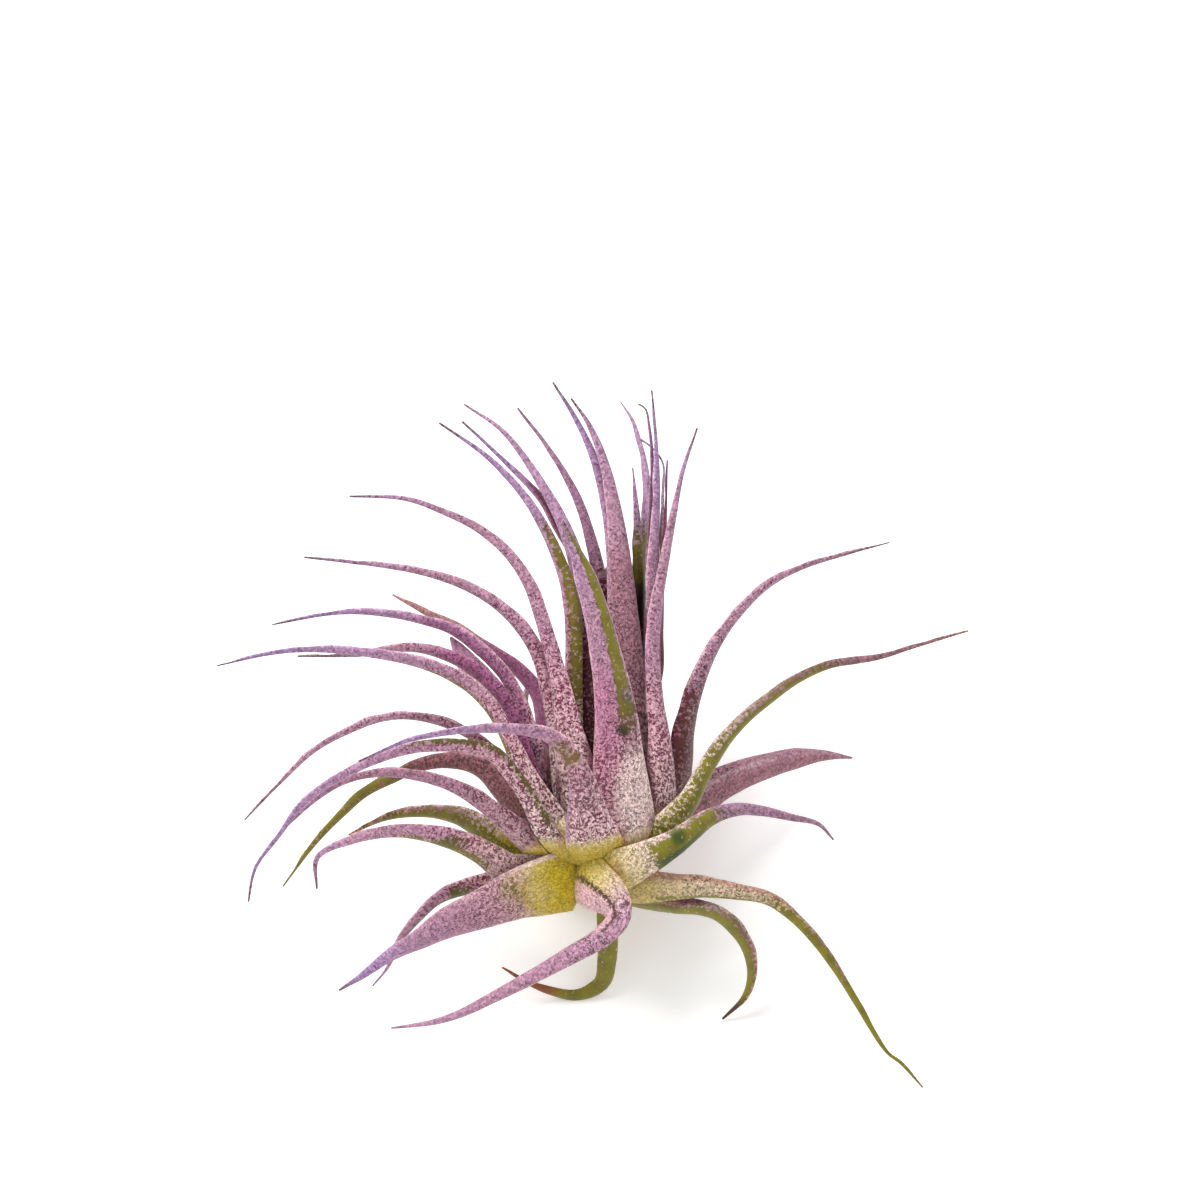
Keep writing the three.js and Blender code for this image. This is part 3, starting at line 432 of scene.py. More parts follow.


# What marks each leaf, the later over the earlier. A strip runs along it: from and to as shares
# of its length, from and to across it (-1 left margin, 1 right margin, seen from outside with
# the tip up). A spot lies at a place across and along, and reaches so far each way, in mm. Then
# what shows there, its colour and how strongly, and how soft a strip's sides are or how deep a
# spot is dented. Bare is flesh without scales, felt is close scales with few flecks and little of
# the painted crease shade, and a tint colours the scales and leaves the flecks.
STRIPS = {
    "leaf_front_middle": [
        (0.52, 0.95, 0.15, 0.72, "bare", OLIVE, 1.0, 0.06),
        (0.3, 0.55, 0.05, 0.75, "bare", BARK, 0.35, 0.2),
        # The wine tint on its left side is partly the leaf's own magenta and partly painted shade
        # beside the front left leaf
        (0.1, 0.55, -1.0, -0.2, "tint", WINE, 0.5, 0.4),
    ],
    "leaf_front_left_recurved": [(0.14, 0.34, -1.0, -0.86, "felt", LILAC, 0.8, 0.1)],
    "leaf_right_2": [
        (0.28, 0.75, -0.05, 1.0, "bare", OLIVE, 1.0, 0.12),
        (0.08, 0.35, -0.6, 1.0, "bare", OLIVE, 0.65, 0.3),
        (0.75, 0.95, -1.0, 1.0, "felt", MAUVE, 0.8, 0.3),
    ],
    "leaf_right_3": [
        (0.1, 1.0, -1.0, 1.0, "felt", DUSK, 0.8, 0.1),
        (0.2, 0.9, -0.1, 1.0, "felt", CLAY, 0.6, 0.1),
        (0.25, 0.62, -0.4, -0.3, "felt", BLUSH, 0.9, 0.06),
    ],
    "leaf_right_4": [
        (0.36, 0.62, -0.5, 1.0, "bare", OLIVE, 0.95, 0.15),
        (0.6, 1.0, -1.0, 1.0, "felt", HEATHER, 0.9, 0.15),
        (0.35, 0.46, 0.3, 1.0, "bare", MOSS, 1.0, 0.1),
    ],
    "leaf_low_right": [
        (0.1, 0.5, -1.0, 1.0, "felt", SAND, 0.65, 0.3),
        (0.12, 0.5, -1.0, -0.6, "felt", BRICK, 0.6, 0.1),
        (0.2, 0.5, 0.4, 1.0, "bare", OLIVE, 0.8, 0.15),
        (0.5, 0.76, -0.35, 1.0, "bare", OLIVE, 1.0, 0.2),
        (0.74, 0.95, -0.9, 1.0, "bare", OLIVE, 1.0, 0.2),
    ],
    "leaf_low_right_curl": [
        (0.15, 0.94, -0.45, 1.0, "bare", OLIVE, 1.0, 0.15),
        (0.93, 1.0, -1.0, 1.0, "bare", BARK, 1.0, 0.1),
    ],
    "leaf_low_curl": [
        (0.0, 0.9, -1.0, 1.0, "bare", OLIVE, 1.0, 0.2),
        (0.8, 1.0, -1.0, 1.0, "bare", RUST, 1.0, 0.2),
    ],
    "leaf_low_twisted": [
        (0.3, 1.0, -1.0, 1.0, "felt", ORCHID, 0.8, 0.3),
        (0.13, 0.32, 0.15, 1.0, "felt", PETAL, 0.9, 0.1),
        (0.12, 0.3, -0.05, 0.08, "bare", BARK, 1.0, 0.08),
    ],
    "leaf_low_left_hollow": [
        (0.02, 0.3, 0.88, 1.0, "felt", BLUSH, 0.9, 0.06),
        (0.3, 0.7, -1.0, 1.0, "felt", MAUVE, 0.35, 0.1),
    ],
    "leaf_left_7": [(0.22, 0.5, 0.5, 1.0, "bare", FERN, 0.8, 0.15)],
    "leaf_low_left_behind": [(0.25, 0.8, -1.0, -0.1, "bare", FERN, 0.8, 0.15)],
    "leaf_left_3": [(0.25, 0.62, -0.6, 0.6, "tint", PURPLE, 0.55, 0.3)],
    "leaf_left_3_short": [(0.2, 1.3, -1.0, 1.0, "felt", SHELL, 0.9, 0.3)],
    "leaf_left_5": [(0.25, 0.62, -1.0, 1.0, "tint", GRAPE, 0.7, 0.3)],
    "leaf_left_3_behind": [
        (0.0, 0.8, -1.0, 1.0, "felt", VIOLET, 0.9, 0.2),
        (0.75, 1.3, -1.0, 1.0, "felt", PEACH, 0.9, 0.2),
    ],
    "leaf_left_8": [
        (0.4, 0.7, -1.0, -0.55, "bare", FERN, 0.7, 0.15),
        (0.1, 0.9, -1.0, 1.0, "felt", MAUVE, 0.5, 0.2),
    ],
    "leaf_left_9": [
        (0.0, 0.66, -1.0, 1.0, "tint", CHESTNUT, 0.9, 0.2),
        (0.6, 1.0, -1.0, 1.0, "bare", OLIVE, 0.8, 0.2),
    ],
    "leaf_left_10": [(0.25, 0.8, -0.9, 0.3, "bare", OLIVE, 0.9, 0.2)],
    "leaf_left_11": [
        (0.0, 0.36, -1.0, 1.0, "felt", DUST, 0.6, 0.15),
        (0.36, 0.6, -1.0, -0.1, "bare", OLIVE, 0.8, 0.15),
    ],
    "leaf_left_4": [(0.34, 0.55, -1.0, -0.3, "bare", OLIVE, 0.9, 0.15)],
    "leaf_centre_1": [(0.3, 0.62, -0.1, 1.0, "bare", OLIVE, 0.9, 0.2)],
    "leaf_centre_2": [
        # The maroon lower part is partly the leaf's own colour and partly painted shade between the
        # front leaves
        (0.0, 0.42, -1.0, 1.0, "bare", MAROON, 0.6, 0.3),
        (0.45, 1.0, -1.0, 1.0, "felt", LILAC, 0.8, 0.3),
    ],
    "leaf_centre_4": [
        (0.3, 0.62, -1.0, 1.0, "bare", MAROON, 0.6, 0.3),
        (0.6, 1.0, -1.0, 1.0, "felt", THISTLE, 0.8, 0.3),
    ],
    "leaf_centre_5": [(0.2, 0.6, -1.0, 1.0, "tint", COCOA, 0.7, 0.3)],
    "leaf_centre_7": [
        (0.76, 1.0, -1.0, 1.0, "felt", LILAC, 1.0, 0.3),
        (0.6, 0.76, -1.0, 1.0, "bare", OLIVE, 0.9, 0.3),
        # Painted deep shade: the near-black lower part, in the gap between the crown's leaves
        (0.0, 0.6, -1.0, 1.0, "bare", NEAR_BLACK, 1.0, 0.3),
    ],
    "leaf_centre_8": [
        (0.62, 1.0, -1.0, 1.0, "felt", LILAC, 1.0, 0.3),
        (0.48, 0.62, -1.0, 1.0, "bare", OLIVE, 0.9, 0.3),
        # Painted deep shade: the near-black lower part, in the gap between the crown's leaves
        (0.0, 0.48, -1.0, 1.0, "bare", NEAR_BLACK, 1.0, 0.3),
    ],
    "leaf_right_1": [
        (0.1, 0.4, -1.0, -0.55, "bare", MAROON, 0.65, 0.2),
        (0.05, 0.4, -0.5, 1.0, "bare", BARK, 0.45, 0.3),
    ],
}

# Leaves whose inner face is marked as the outer one is
MARKED_INSIDE = ("leaf_centre_7", "leaf_centre_8", "leaf_left_3_short", "leaf_left_3_behind")

SPOTS = {
    "leaf_low_left_hollow": [
        (-4.9, -1.4, 2.6, 1.9, "felt", YELLOW, 1.0, 0.8),
        (-3.0, 0.2, 2.0, 1.6, "felt", YELLOW, 0.7, 0.0),
        (-8.8, -1.0, 1.4, 1.2, "bare", OLIVE, 0.5, 0.0),
    ],
    "leaf_front_middle": [
        (3.7, 16.5, 0.7, 0.6, "bare", NEAR_BLACK, 1.0, 0.0),
        (4.1, 20.3, 0.7, 0.8, "felt", ASH, 0.6, 0.0),
        (4.4, 18.3, 1.3, 2.2, "bare", FERN, 0.45, 0.0),
        (5.2, 9.5, 2.4, 5.0, "felt", BLUSH, 0.9, 0.0),
    ],
    "leaf_front_left_recurved": [
        (-3.4, 14.5, 1.4, 0.8, "bare", OLIVE, 0.6, 0.0),
        (-2.0, 13.4, 1.1, 1.0, "bare", OLIVE, 0.6, 0.0),
        (-0.6, 9.6, 1.8, 2.4, "bare", ASH, 0.35, 0.0),
    ],
    "leaf_right_4": [(9.7, 4.8, 0.8, 0.9, "bare", MOSS, 1.0, 0.0)],
    "leaf_low_left_behind": [(-14.2, -1.5, 1.4, 0.8, "bare", FERN, 0.9, 0.0)],
    "leaf_left_11": [(-15.2, 4.1, 1.8, 0.8, "bare", FERN, 0.8, 0.0)],
    # This maroon spot is partly the leaf's own colour and partly painted shade in the V gap between
    # the front left leaf and leaf_left_7
    "leaf_left_1": [(-4, 8.6, 1.2, 4.2, "tint", MAROON, 0.85, 0.0)],
}


# A leaf's middle line and section, in mm: where the lowest leaf is rooted and how far off the
# stem, how long the shoulder is, how long the sheath is where a row gives no length, how far
# its face droops and the knot where it faces as its turn says
FIRST_ROOT = 0.2
ROOT_GAP = 0.35
SHOULDER_LENGTH = 3.5
SHEATH_START = 1.2
SHEATH_SHARE = 0.6
SHEATH_DROOP = 0.45
SHEATH_POINT = 2

# How finely the line is drawn, how a blade is trimmed and tapers, how thick it may be for its
# width, how far a sheath may be bowed, and where the blade's channel and lift set in
CURVE_SAMPLES = 60
LINE_STEP = 0.25
LINE_LEAST = 24
BLADE_TAPER = 0.85
BLADE_TRIM = 0.92
THICK_SHARE = 0.62
BOW_MOST = 0.9
CHANNEL_START = 0.2
LIFT_START = 0.4
LIFT_SHARE = 0.5

# The bowl that the sheaths make at the bulb's foot, in mm: its radius at heights along the stem,
# where up the stem it lets go, where along a leaf it takes hold and lets go, how far across the
# plant it reaches, and the leaves that lie beside it
BOWL_HEIGHTS = [0.6, 1.3, 2.2, 3.6, 6.3, 9]
BOWL_RADII = [4.5, 6.4, 8.4, 10.2, 11.5, 12]
BOWL_TOP = (3.2, 7.5)
BOWL_START = (3.5, 6)
BOWL_END = (8, 12)
BOWL_SIDES = (5.5, 9)
BESIDE_BOWL = (
    "leaf_low", "leaf_under", "leaf_right_2", "leaf_right_3", "leaf_right_4", "leaf_left_11")


def smooth_curve(points, samples):
    """A centripetal Catmull-Rom curve through the points, sampled evenly along each stretch."""
    points = np.asarray(points, float)
    before = 2 * points[0] - points[1]
    after = 2 * points[-1] - points[-2]
    knots = np.vstack([before, points, after])
    gaps = np.sqrt(np.linalg.norm(np.diff(knots, axis=0), axis=1))
    parts = np.linspace(0, 1, samples, endpoint=False)[:, None]
    pieces = []
    for i in range(1, len(knots) - 2):
        p0, p1, p2, p3 = knots[i - 1:i + 3]
        d0, d1, d2 = gaps[i - 1:i + 2]
        leave = ((p1 - p0) / d0 - (p2 - p0) / (d0 + d1) + (p2 - p1) / d1) * d1
        reach = ((p2 - p1) / d1 - (p3 - p1) / (d1 + d2) + (p3 - p2) / d2) * d1
        pieces.append(
            p1 + leave * parts + (3 * (p2 - p1) - 2 * leave - reach) * parts ** 2
            + (2 * (p1 - p2) + leave + reach) * parts ** 3)
    return np.vstack(pieces + [points[-1:]])


def carry(outer, tangent):
    outer = outer - np.dot(outer, tangent) * tangent
    return outer / np.linalg.norm(outer)


def turned(vectors, axes, angles):
    """Each vector turned about its axis, which is square to it."""
    return vectors * np.cos(angles)[:, None] + np.cross(axes, vectors) * np.sin(angles)[:, None]


def middle_line(row):
    """A leaf's middle line: its points, directions, width and thickness, every LINE_STEP mm."""
    sizes = bpy.context.scene.plant_sizes
    turn = math.radians(row["turn"])
    height = FIRST_ROOT + sizes.root_step / MM * ORDER[row["name"]]
    knots = [stem_point(height, turn, ROOT_GAP)] + list(row["way"])
    fine = smooth_curve(knots, CURVE_SAMPLES)
    reach = np.concatenate([[0], np.cumsum(np.linalg.norm(np.diff(fine, axis=0), axis=1))])
    length = reach[-1]
    count = max(LINE_LEAST, int(round(length / LINE_STEP)))
    run = np.linspace(0, length, count + 1)
    middle = np.stack([np.interp(run, reach, fine[:, k]) for k in range(3)], axis=1)
    tangent = np.gradient(middle, run, axis=0)
    tangent /= np.linalg.norm(tangent, axis=1)[:, None]
    part = run / length

    start = int(np.argmin(np.linalg.norm(middle - np.asarray(knots[SHEATH_POINT]), axis=1)))
    outer = np.zeros_like(middle)
    facing = np.array([math.sin(turn), -SHEATH_DROOP, math.cos(turn)])
    outer[start] = carry(facing, tangent[start])
    for i in range(start + 1, count + 1):
        outer[i] = carry(outer[i - 1], tangent[i])
    for i in range(start - 1, -1, -1):
        outer[i] = carry(outer[i + 1], tangent[i])
    outer = turned(outer, tangent, np.radians(lerp(row["roll"][0], row["roll"][1], part)))
    side = np.cross(tangent, outer)

    neck = row["neck"]
    tip = sizes.tip_thick / MM
    rise = np.sin(np.clip(run / SHOULDER_LENGTH, 0, 1) * math.pi / 2)
    shoulder = lerp(row["foot"], row["wide"], rise)
    sheath = row["sheath"] or SHEATH_START + neck * length * SHEATH_SHARE
    past = np.clip(run - SHOULDER_LENGTH, 0, None) / sheath
    blade = row["blade"] * BLADE_TRIM
    broad = (row["wide"] - blade) * np.exp(-past ** 2) * (1 - smoothstep(part, neck, 1))
    free = lerp(blade, tip, np.clip((part - neck) / (1 - neck), 0, 1) ** BLADE_TAPER)
    width = np.where(run < SHOULDER_LENGTH, shoulder, free + broad)
    fade = np.clip(part / neck, 0, 1)
    thick = lerp(sizes.base_thick, sizes.blade_thick, fade) / MM
    thick = np.minimum(thick, width * THICK_SHARE)
    bow = 2 * np.arcsin(np.clip(width / 2 / (sizes.bulb_radius / MM), 0, BOW_MOST))
    bow = lerp(bow, sizes.channel, smoothstep(fade, CHANNEL_START, 1))
    depth = width / 2 * np.tan(bow / 4)
    lift = depth * LIFT_SHARE * smoothstep(fade, LIFT_START, 1)
    return {
        "run": run, "part": part, "middle": middle, "tangent": tangent, "outer": outer,
        "side": side, "width": width, "thick": thick, "bow": bow, "lift": lift, "length": length,
    }


def along_line(line, key, run):
    values = line[key]
    if values.ndim == 1:
        return np.interp(run, line["run"], values)
    return np.stack([np.interp(run, line["run"], values[:, k]) for k in range(3)], axis=1)


# A waver is a few waves laid on each other: how many, the longest in mm, how much shorter and
# lower each next one is, and how far a length strays. A margin wavers fully from so far along,
# and each of its sides and a foot's edge has seeds of its own.
WAVES = 3
LONGEST_WAVE = 9.0
WAVE_SHORTENS = 1.7
WAVE_SINKS = 1.4
WAVE_STRAYS = (0.8, 1.2)
RIPPLE_FULL = 8
LEFT_MARGIN_SEED = 101
RIGHT_MARGIN_SEED = 1
FOOT_SEED = 300


def wavers(seed, run):
    """A slow seeded wave along a leaf, between about -1 and 1."""
    rng = np.random.default_rng(seed)
    total = np.zeros_like(run)
    for k in range(WAVES):
        wave = LONGEST_WAVE / (WAVE_SHORTENS ** k) * rng.uniform(*WAVE_STRAYS)
        total += np.sin(2 * math.pi * (run / wave + rng.uniform())) / (WAVE_SINKS ** k)
    return total / 2


def press_into_bowl(points, run, depth):
    """Draws the foot of a sheath into the bowl; depth is how far inside it each point lies."""
    sizes = bpy.context.scene.plant_sizes
    across, along, near = points.T
    centre = sizes.stem_lean * along
    reach = np.hypot((across - centre) * sizes.bulb_depth, near)
    target = np.interp(along, BOWL_HEIGHTS, BOWL_RADII) - depth
    share = smoothstep(run, *BOWL_START) * (1 - smoothstep(run, *BOWL_END))
    share *= (1 - smoothstep(along, *BOWL_TOP)) * (1 - smoothstep(np.abs(across), *BOWL_SIDES))
    share *= near > 0
    ratio = lerp(1.0, target / np.maximum(reach, 1), share)
    return np.stack([centre + (across - centre) * ratio, along, near * ratio], axis=1)


CYLINDER_HALF = 0.5


def ringed_cylinder(name, sides, rings):
    """An upright cylinder, 1 high and 1 in radius, whose wall is cut into rings."""
    deselect_all()
    bpy.ops.mesh.primitive_cylinder_add(
        vertices=sides, radius=1, depth=2 * CYLINDER_HALF, end_fill_type="TRIFAN",
        location=(0, 0, 0))
    obj = bpy.context.active_object
    obj.name = name
    obj.data.name = name
    bpy.context.tool_settings.mesh_select_mode = (False, True, False)
    bpy.ops.object.mode_set(mode="EDIT")
    bpy.ops.mesh.select_all(action="DESELECT")
    bpy.ops.object.mode_set(mode="OBJECT")
    heights = points_of(obj)[:, 2]
    for edge in obj.data.edges:
        a, b = edge.vertices
        edge.select = abs(heights[a] - heights[b]) > CYLINDER_HALF
    bpy.ops.object.mode_set(mode="EDIT")
    bpy.ops.mesh.subdivide(number_cuts=rings - 1)
    bpy.ops.object.mode_set(mode="OBJECT")
    return obj


def leaf_shell(name, row, line, sides, rings, grow=0.0):
    """A leaf from a ringed cylinder: each ring is drawn out to the leaf's channelled section at
    its place on the middle line, and the dents of the leaf's spots are pressed in."""
    obj = ringed_cylinder(name, sides, rings)
    sizes = bpy.context.scene.plant_sizes
    x, y, z = points_of(obj).T
    run = (z + CYLINDER_HALF) * line["length"]
    grow = grow * smoothstep(run, *BOWL_START)
    width = along_line(line, "width", run) + 2 * grow
    thick = along_line(line, "thick", run) + 2 * grow
    half = along_line(line, "bow", run) / 2
    seed = ORDER[row["name"]]
    ripple = sizes.ripple / MM * np.minimum(1, run / RIPPLE_FULL)
    wave = ripple * np.where(
        x > 0, wavers(seed + RIGHT_MARGIN_SEED, run), wavers(seed + LEFT_MARGIN_SEED, run))
    angle = x * half
    radius = width / 2 / np.sin(half)
    lift = along_line(line, "lift", run)
    rim = np.abs(x) ** 3 * wave + lift
    middle = along_line(line, "middle", run)
    side = along_line(line, "side", run)
    outer = along_line(line, "outer", run)
    out = -y * thick / 2
    points = (middle
              + side * ((radius + out) * np.sin(angle))[:, None]
              + outer * ((radius + out) * np.cos(angle) - radius + rim)[:, None])
    if not row["name"].startswith(BESIDE_BOWL):
        points = press_into_bowl(points, run, (thick - 2 * grow) / 2 - out)
    for right, up, reach_right, reach_up, *_, dent in SPOTS.get(row["name"], []):
        across, along, near = points.T
        gap = np.hypot((across - right) / reach_right, (along - up) / reach_up)
        points = points - outer * (dent * np.exp(-gap ** 2) * (near > 0))[:, None]
    place_points(obj, lay_down(points))
    return obj


def where_on_leaf(line, points):
    """For points near a leaf, how far along it they are, how far across (-1 to 1), and how far
    out of its middle surface, in mm."""
    gaps = np.linalg.norm(points[:, None, :] - line["middle"][None, :, :], axis=2)
    nearest = gaps.argmin(axis=1)
    offset = points - line["middle"][nearest]
    run = line["run"][nearest] + np.einsum("ij,ij->i", offset, line["tangent"][nearest])
    run = np.clip(run, 0, line["length"])
    half = line["bow"][nearest] / 2
    radius = line["width"][nearest] / 2 / np.sin(half)
    sideways = np.einsum("ij,ij->i", offset, line["side"][nearest])
    outwards = np.einsum("ij,ij->i", offset, line["outer"][nearest]) + radius
    outwards -= line["lift"][nearest]
    angle = np.arctan2(sideways, outwards)
    cross = np.clip(angle / half, -1, 1)
    out = np.hypot(sideways, outwards) - radius
    return run, cross, out


def boxes_meet(one, other):
    """Whether two pieces' boxes overlap."""
    a, b = points_of(one), points_of(other)
    return bool(np.all(a.min(0) < b.max(0)) and np.all(b.min(0) < a.max(0)))


def surface_tree(obj):
    faces = [tuple(face.vertices) for face in obj.data.polygons]
    return BVHTree.FromPolygons([tuple(p) for p in points_of(obj)], faces)


def joint_tree(rooms):
    """One search tree over several rooms, or None where there are none."""
    points, faces = [], []
    for room in rooms:
        start = len(points)
        points += [tuple(p) for p in points_of(room)]
        faces += [tuple(start + v for v in face.vertices) for face in room.data.polygons]
    return BVHTree.FromPolygons(points, faces) if faces else None


def cut_away(obj, room):
    """Takes the room's space out of the piece."""
    select_only(obj)
    modifier = obj.modifiers.new("room", "BOOLEAN")
    modifier.object = room
    modifier.operation = "DIFFERENCE"
    modifier.solver = "MANIFOLD"
    bpy.ops.object.modifier_apply(modifier=modifier.name)


def keep_largest(obj):
    """Drops what the cuts left loose, but for the largest body."""
    name = obj.name
    select_only(obj)
    bpy.ops.object.mode_set(mode="EDIT")
    bpy.ops.mesh.select_all(action="SELECT")
    bpy.ops.mesh.separate(type="LOOSE")
    bpy.ops.object.mode_set(mode="OBJECT")
    bodies = sorted(bpy.context.selected_objects, key=lambda o: len(o.data.vertices))
    largest = bodies.pop()
    for body in bodies:
        bpy.data.objects.remove(body)
    largest.name = name
    largest.data.name = name
    return largest


# Just over the ground, so that a cut stays clear of it, and how finely it is cut
GROUND = 0.02 * MM
CUT_LIMIT = GROUND / 10


def trim_at_ground(obj):
    """Cuts off what would reach below the ground, and closes the cut."""
    if points_of(obj)[:, 2].min() > GROUND:
        return
    select_only(obj)
    bpy.ops.object.mode_set(mode="EDIT")
    bpy.ops.mesh.select_all(action="SELECT")
    bpy.ops.mesh.bisect(
        plane_co=(0, 0, GROUND), plane_no=(0, 0, -1), use_fill=True, clear_outer=True,
        threshold=CUT_LIMIT)
    bpy.ops.object.mode_set(mode="OBJECT")


def stem_shell(name, sides, rings, grow=0.0):
    """The stem from a ringed cylinder, its rings drawn to a taper with the scars of old leaves
    round it. A stem that is grown for its room has no scars."""
    obj = ringed_cylinder(name, sides, rings)
    sizes = bpy.context.scene.plant_sizes
    x, y, z = points_of(obj).T
    height = sizes.stem_height / MM
    top = height + STEM_CROWN + grow
    along = lerp(STEM_BUTT - grow, top, z + CYLINDER_HALF)
    taper = lerp(sizes.stem_foot_radius, sizes.stem_top_radius,
                 np.clip(along / height, 0, 1)) / MM
    crown = np.maximum(np.sqrt(np.clip((top - along) / CROWN_ROUND, 0, 1)), CROWN_BLUNT)
    butt = lerp(BUTT_SHARE, 1.0, np.clip((along - STEM_BUTT) / BUTT_ROUND, 0, 1))
    waver = np.sin(np.arctan2(x, -y) * SCAR_WAVES)
    scars = SCAR_DEPTH * np.sin(along * SCAR_PITCH + waver) * (grow == 0)
    reach = (taper + scars) * crown * butt + grow
    points = np.stack([
        sizes.stem_lean * along + x * reach, along, -y * reach], axis=1)
    place_points(obj, lay_down(points))
    return obj


# Surfaces

# Along each leaf: its place as a share of the length, the colour of its scales, the colour of
# the flesh under them, how closely the scales cover it and how many dark flecks show
TONES = {
    "lilac": {
        "outer": [(0, BLUSH, MAROON, 0.95, 0.6), (0.15, BLUSH, MAROON, 0.92, 0.85),
                  (0.35, PETAL, MAGENTA, 0.92, 0.8), (0.5, ROSE, MAGENTA, 0.95, 0.3),
                  (0.7, LILAC, PLUM, 0.97, 0.15), (0.9, LAVENDER, PLUM, 0.95, 0.15),
                  (1, ASH, BARK, 0.7, 0.3)],
        "inner": [(0, CREAM, OLIVE, 0.5, 0.2), (0.5, MAUVE, OLIVE, 0.5, 0.3),
                  (1, ASH, BARK, 0.5, 0.3)],
    },
    "pink": {
        "outer": [(0, BLUSH, MAROON, 0.95, 0.6), (0.15, BLUSH, MAROON, 0.92, 0.85),
                  (0.35, PETAL, MAGENTA, 0.9, 0.9), (0.5, ROSE, MAGENTA, 0.93, 0.4),
                  (0.75, ROSE, PLUM, 0.95, 0.2), (0.92, LILAC, PLUM, 0.9, 0.2),
                  (1, ASH, BARK, 0.7, 0.3)],
        "inner": [(0, CREAM, OLIVE, 0.5, 0.2), (0.5, STRAW, OLIVE, 0.45, 0.3),
                  (1, ASH, BARK, 0.5, 0.3)],
    },
    "olive": {
        "outer": [(0, CREAM, OLIVE, 0.9, 0.4), (0.3, BLUSH, OLIVE, 0.85, 0.7),
                  (0.6, MAUVE, OLIVE, 0.75, 0.6), (1, STRAW, BARK, 0.7, 0.3)],
        "inner": [(0, CREAM, OLIVE, 0.4, 0.2), (0.5, STRAW, OLIVE, 0.4, 0.3),
                  (1, STRAW, BARK, 0.5, 0.3)],
    },
    "maroon": {
        "outer": [(0, BLUSH, MAROON, 0.85, 0.8), (0.3, MAUVE, MAROON, 0.8, 0.9),
                  (0.5, ROSE, MAROON, 0.88, 0.4), (0.8, ROSE, PLUM, 0.9, 0.25),
                  (1, ASH, BARK, 0.75, 0.3)],
        "inner": [(0, CREAM, OLIVE, 0.4, 0.3), (0.5, MAUVE, MAROON, 0.4, 0.4),
                  (1, ASH, BARK, 0.5, 0.3)],
    },
    "straw": {
        "outer": [(0, CREAM, OLIVE, 0.9, 0.3), (0.5, STRAW, BARK, 0.8, 0.4),
                  (1, STRAW, BARK, 0.8, 0.3)],
        "inner": [(0, CREAM, OLIVE, 0.4, 0.3), (1, STRAW, BARK, 0.5, 0.3)],
    },
}

# How far over the bowl's rim, in mm, the foot is yellow and then cream, how the rim climbs to
# left and right of its lowest point, and for the leaves beside the bowl, how far along them.
# On a leaf over the bowl the yellow ends sooner between the first two places, and is gone by
# the last. Its edge wavers by so much, so many times as finely as a margin does.
RIM = (-1.2, 1.6)
RIM_CLIMB = (0.046, 0.068)
FOOT_YELLOW = 2.4
FOOT_CREAM = 7.5
YELLOW_EDGE = 2
FOOT_RUN = {
    "leaf_low_left_hollow": 8.5, "leaf_low_twisted": 6.6, "leaf_right_4": 7,
    "leaf_low_right": 8, "leaf_low_right_curl": 7,
}
FOOT_RUN_OTHER = 2.5
LOW_ON_BLADE = (8, 13, 12)
FAR_ON_BLADE = (14, 25, 200)
FOOT_WAVER = 0.5
FOOT_WAVER_FINE = 3
FOOT_TINT = 0.9
FOOT_UNFLECKED = 0.8
FOOT_COVER = 0.95

# Where a point counts as on the outer face, by its depth as a share of the thickness. Where a
# margin lies across the leaf, how closely it is covered and how few flecks it has. Where the
# free blade starts, where its sides get painted light and how much light and keel shade are
# painted, and where its edge is pale, partly its own paler scales and partly a painted highlight,
# and by how much.
OUTER_FACE = (-0.25, 0.05)
MARGIN = (0.86, 0.97)
CLOSE_COVER = 0.97
MARGIN_UNFLECKED = 0.6
FREE_BLADE = (0.25, 0.5)
LIT_SIDE = (0.55, 0.9)
SIDE_LIGHT = 0.15
KEEL_SHADE = 0.12
PALE_LIT_EDGE = (0.8, 0.92)
PALE_LIT_SHARE = 0.4

# How softly a strip's ends and a spot's edge fade, and what bare flesh, felt and tints do to
# the scales, the flesh, the flecks and the painted crease shade
STRIP_END = 0.03
STRIP_END_SOFT = 0.25
SPOT_EDGE = (0.6, 1.4)
BARE_LIGHT = 1.7
BARE_SHARE = 0.35
BARE_UNCOVERED = 0.75
UNDER_TINT = 0.3
FELT_UNFLECKED = 0.5
FELT_CREASE_SHADE = 0.7

# Painted shade in the creases where the leaves outside lie close, in the plum and maroon the
# leaves show there: how far from a leaf outside, in mm, the shade begins, where it darkens and
# where it turns from plum to maroon, how much yellow keeps it light, and how strong it is on the
# bulb and the foot
CREASE_SHADE_REACH = 1.6
CREASE_SHADE_DARK = (0.3, 0.8)
CREASE_SHADE_MAROON = (0.4, 0.8)
CREASE_SHADE_ON_YELLOW = 0.85
CREASE_SHADE_STRONG = (0.9, 0.6)
CREASE_SHADE_FLESH = 0.6

# What the skin of a leaf holds at each point, and how far apart the leaves' patterns lie, in mm
SKIN = {"scale": "FLOAT_COLOR", "flesh": "FLOAT_COLOR", "cover": "FLOAT", "fleck": "FLOAT"}
PATTERN_STEP = 20.0


def tone_along(stops, part):
    """The scale colour, flesh colour, cover and flecks at each place along a leaf."""
    places = [stop[0] for stop in stops]
    tone = {}
    for place, key in enumerate(SKIN, 1):
        values = [stop[place] for stop in stops]
        if SKIN[key] == "FLOAT_COLOR":
            table = np.array([linear(value) for value in values])
            tone[key] = np.stack([np.interp(part, places, column) for column in table.T], axis=1)
        else:
            tone[key] = np.interp(part, places, values)
    return tone


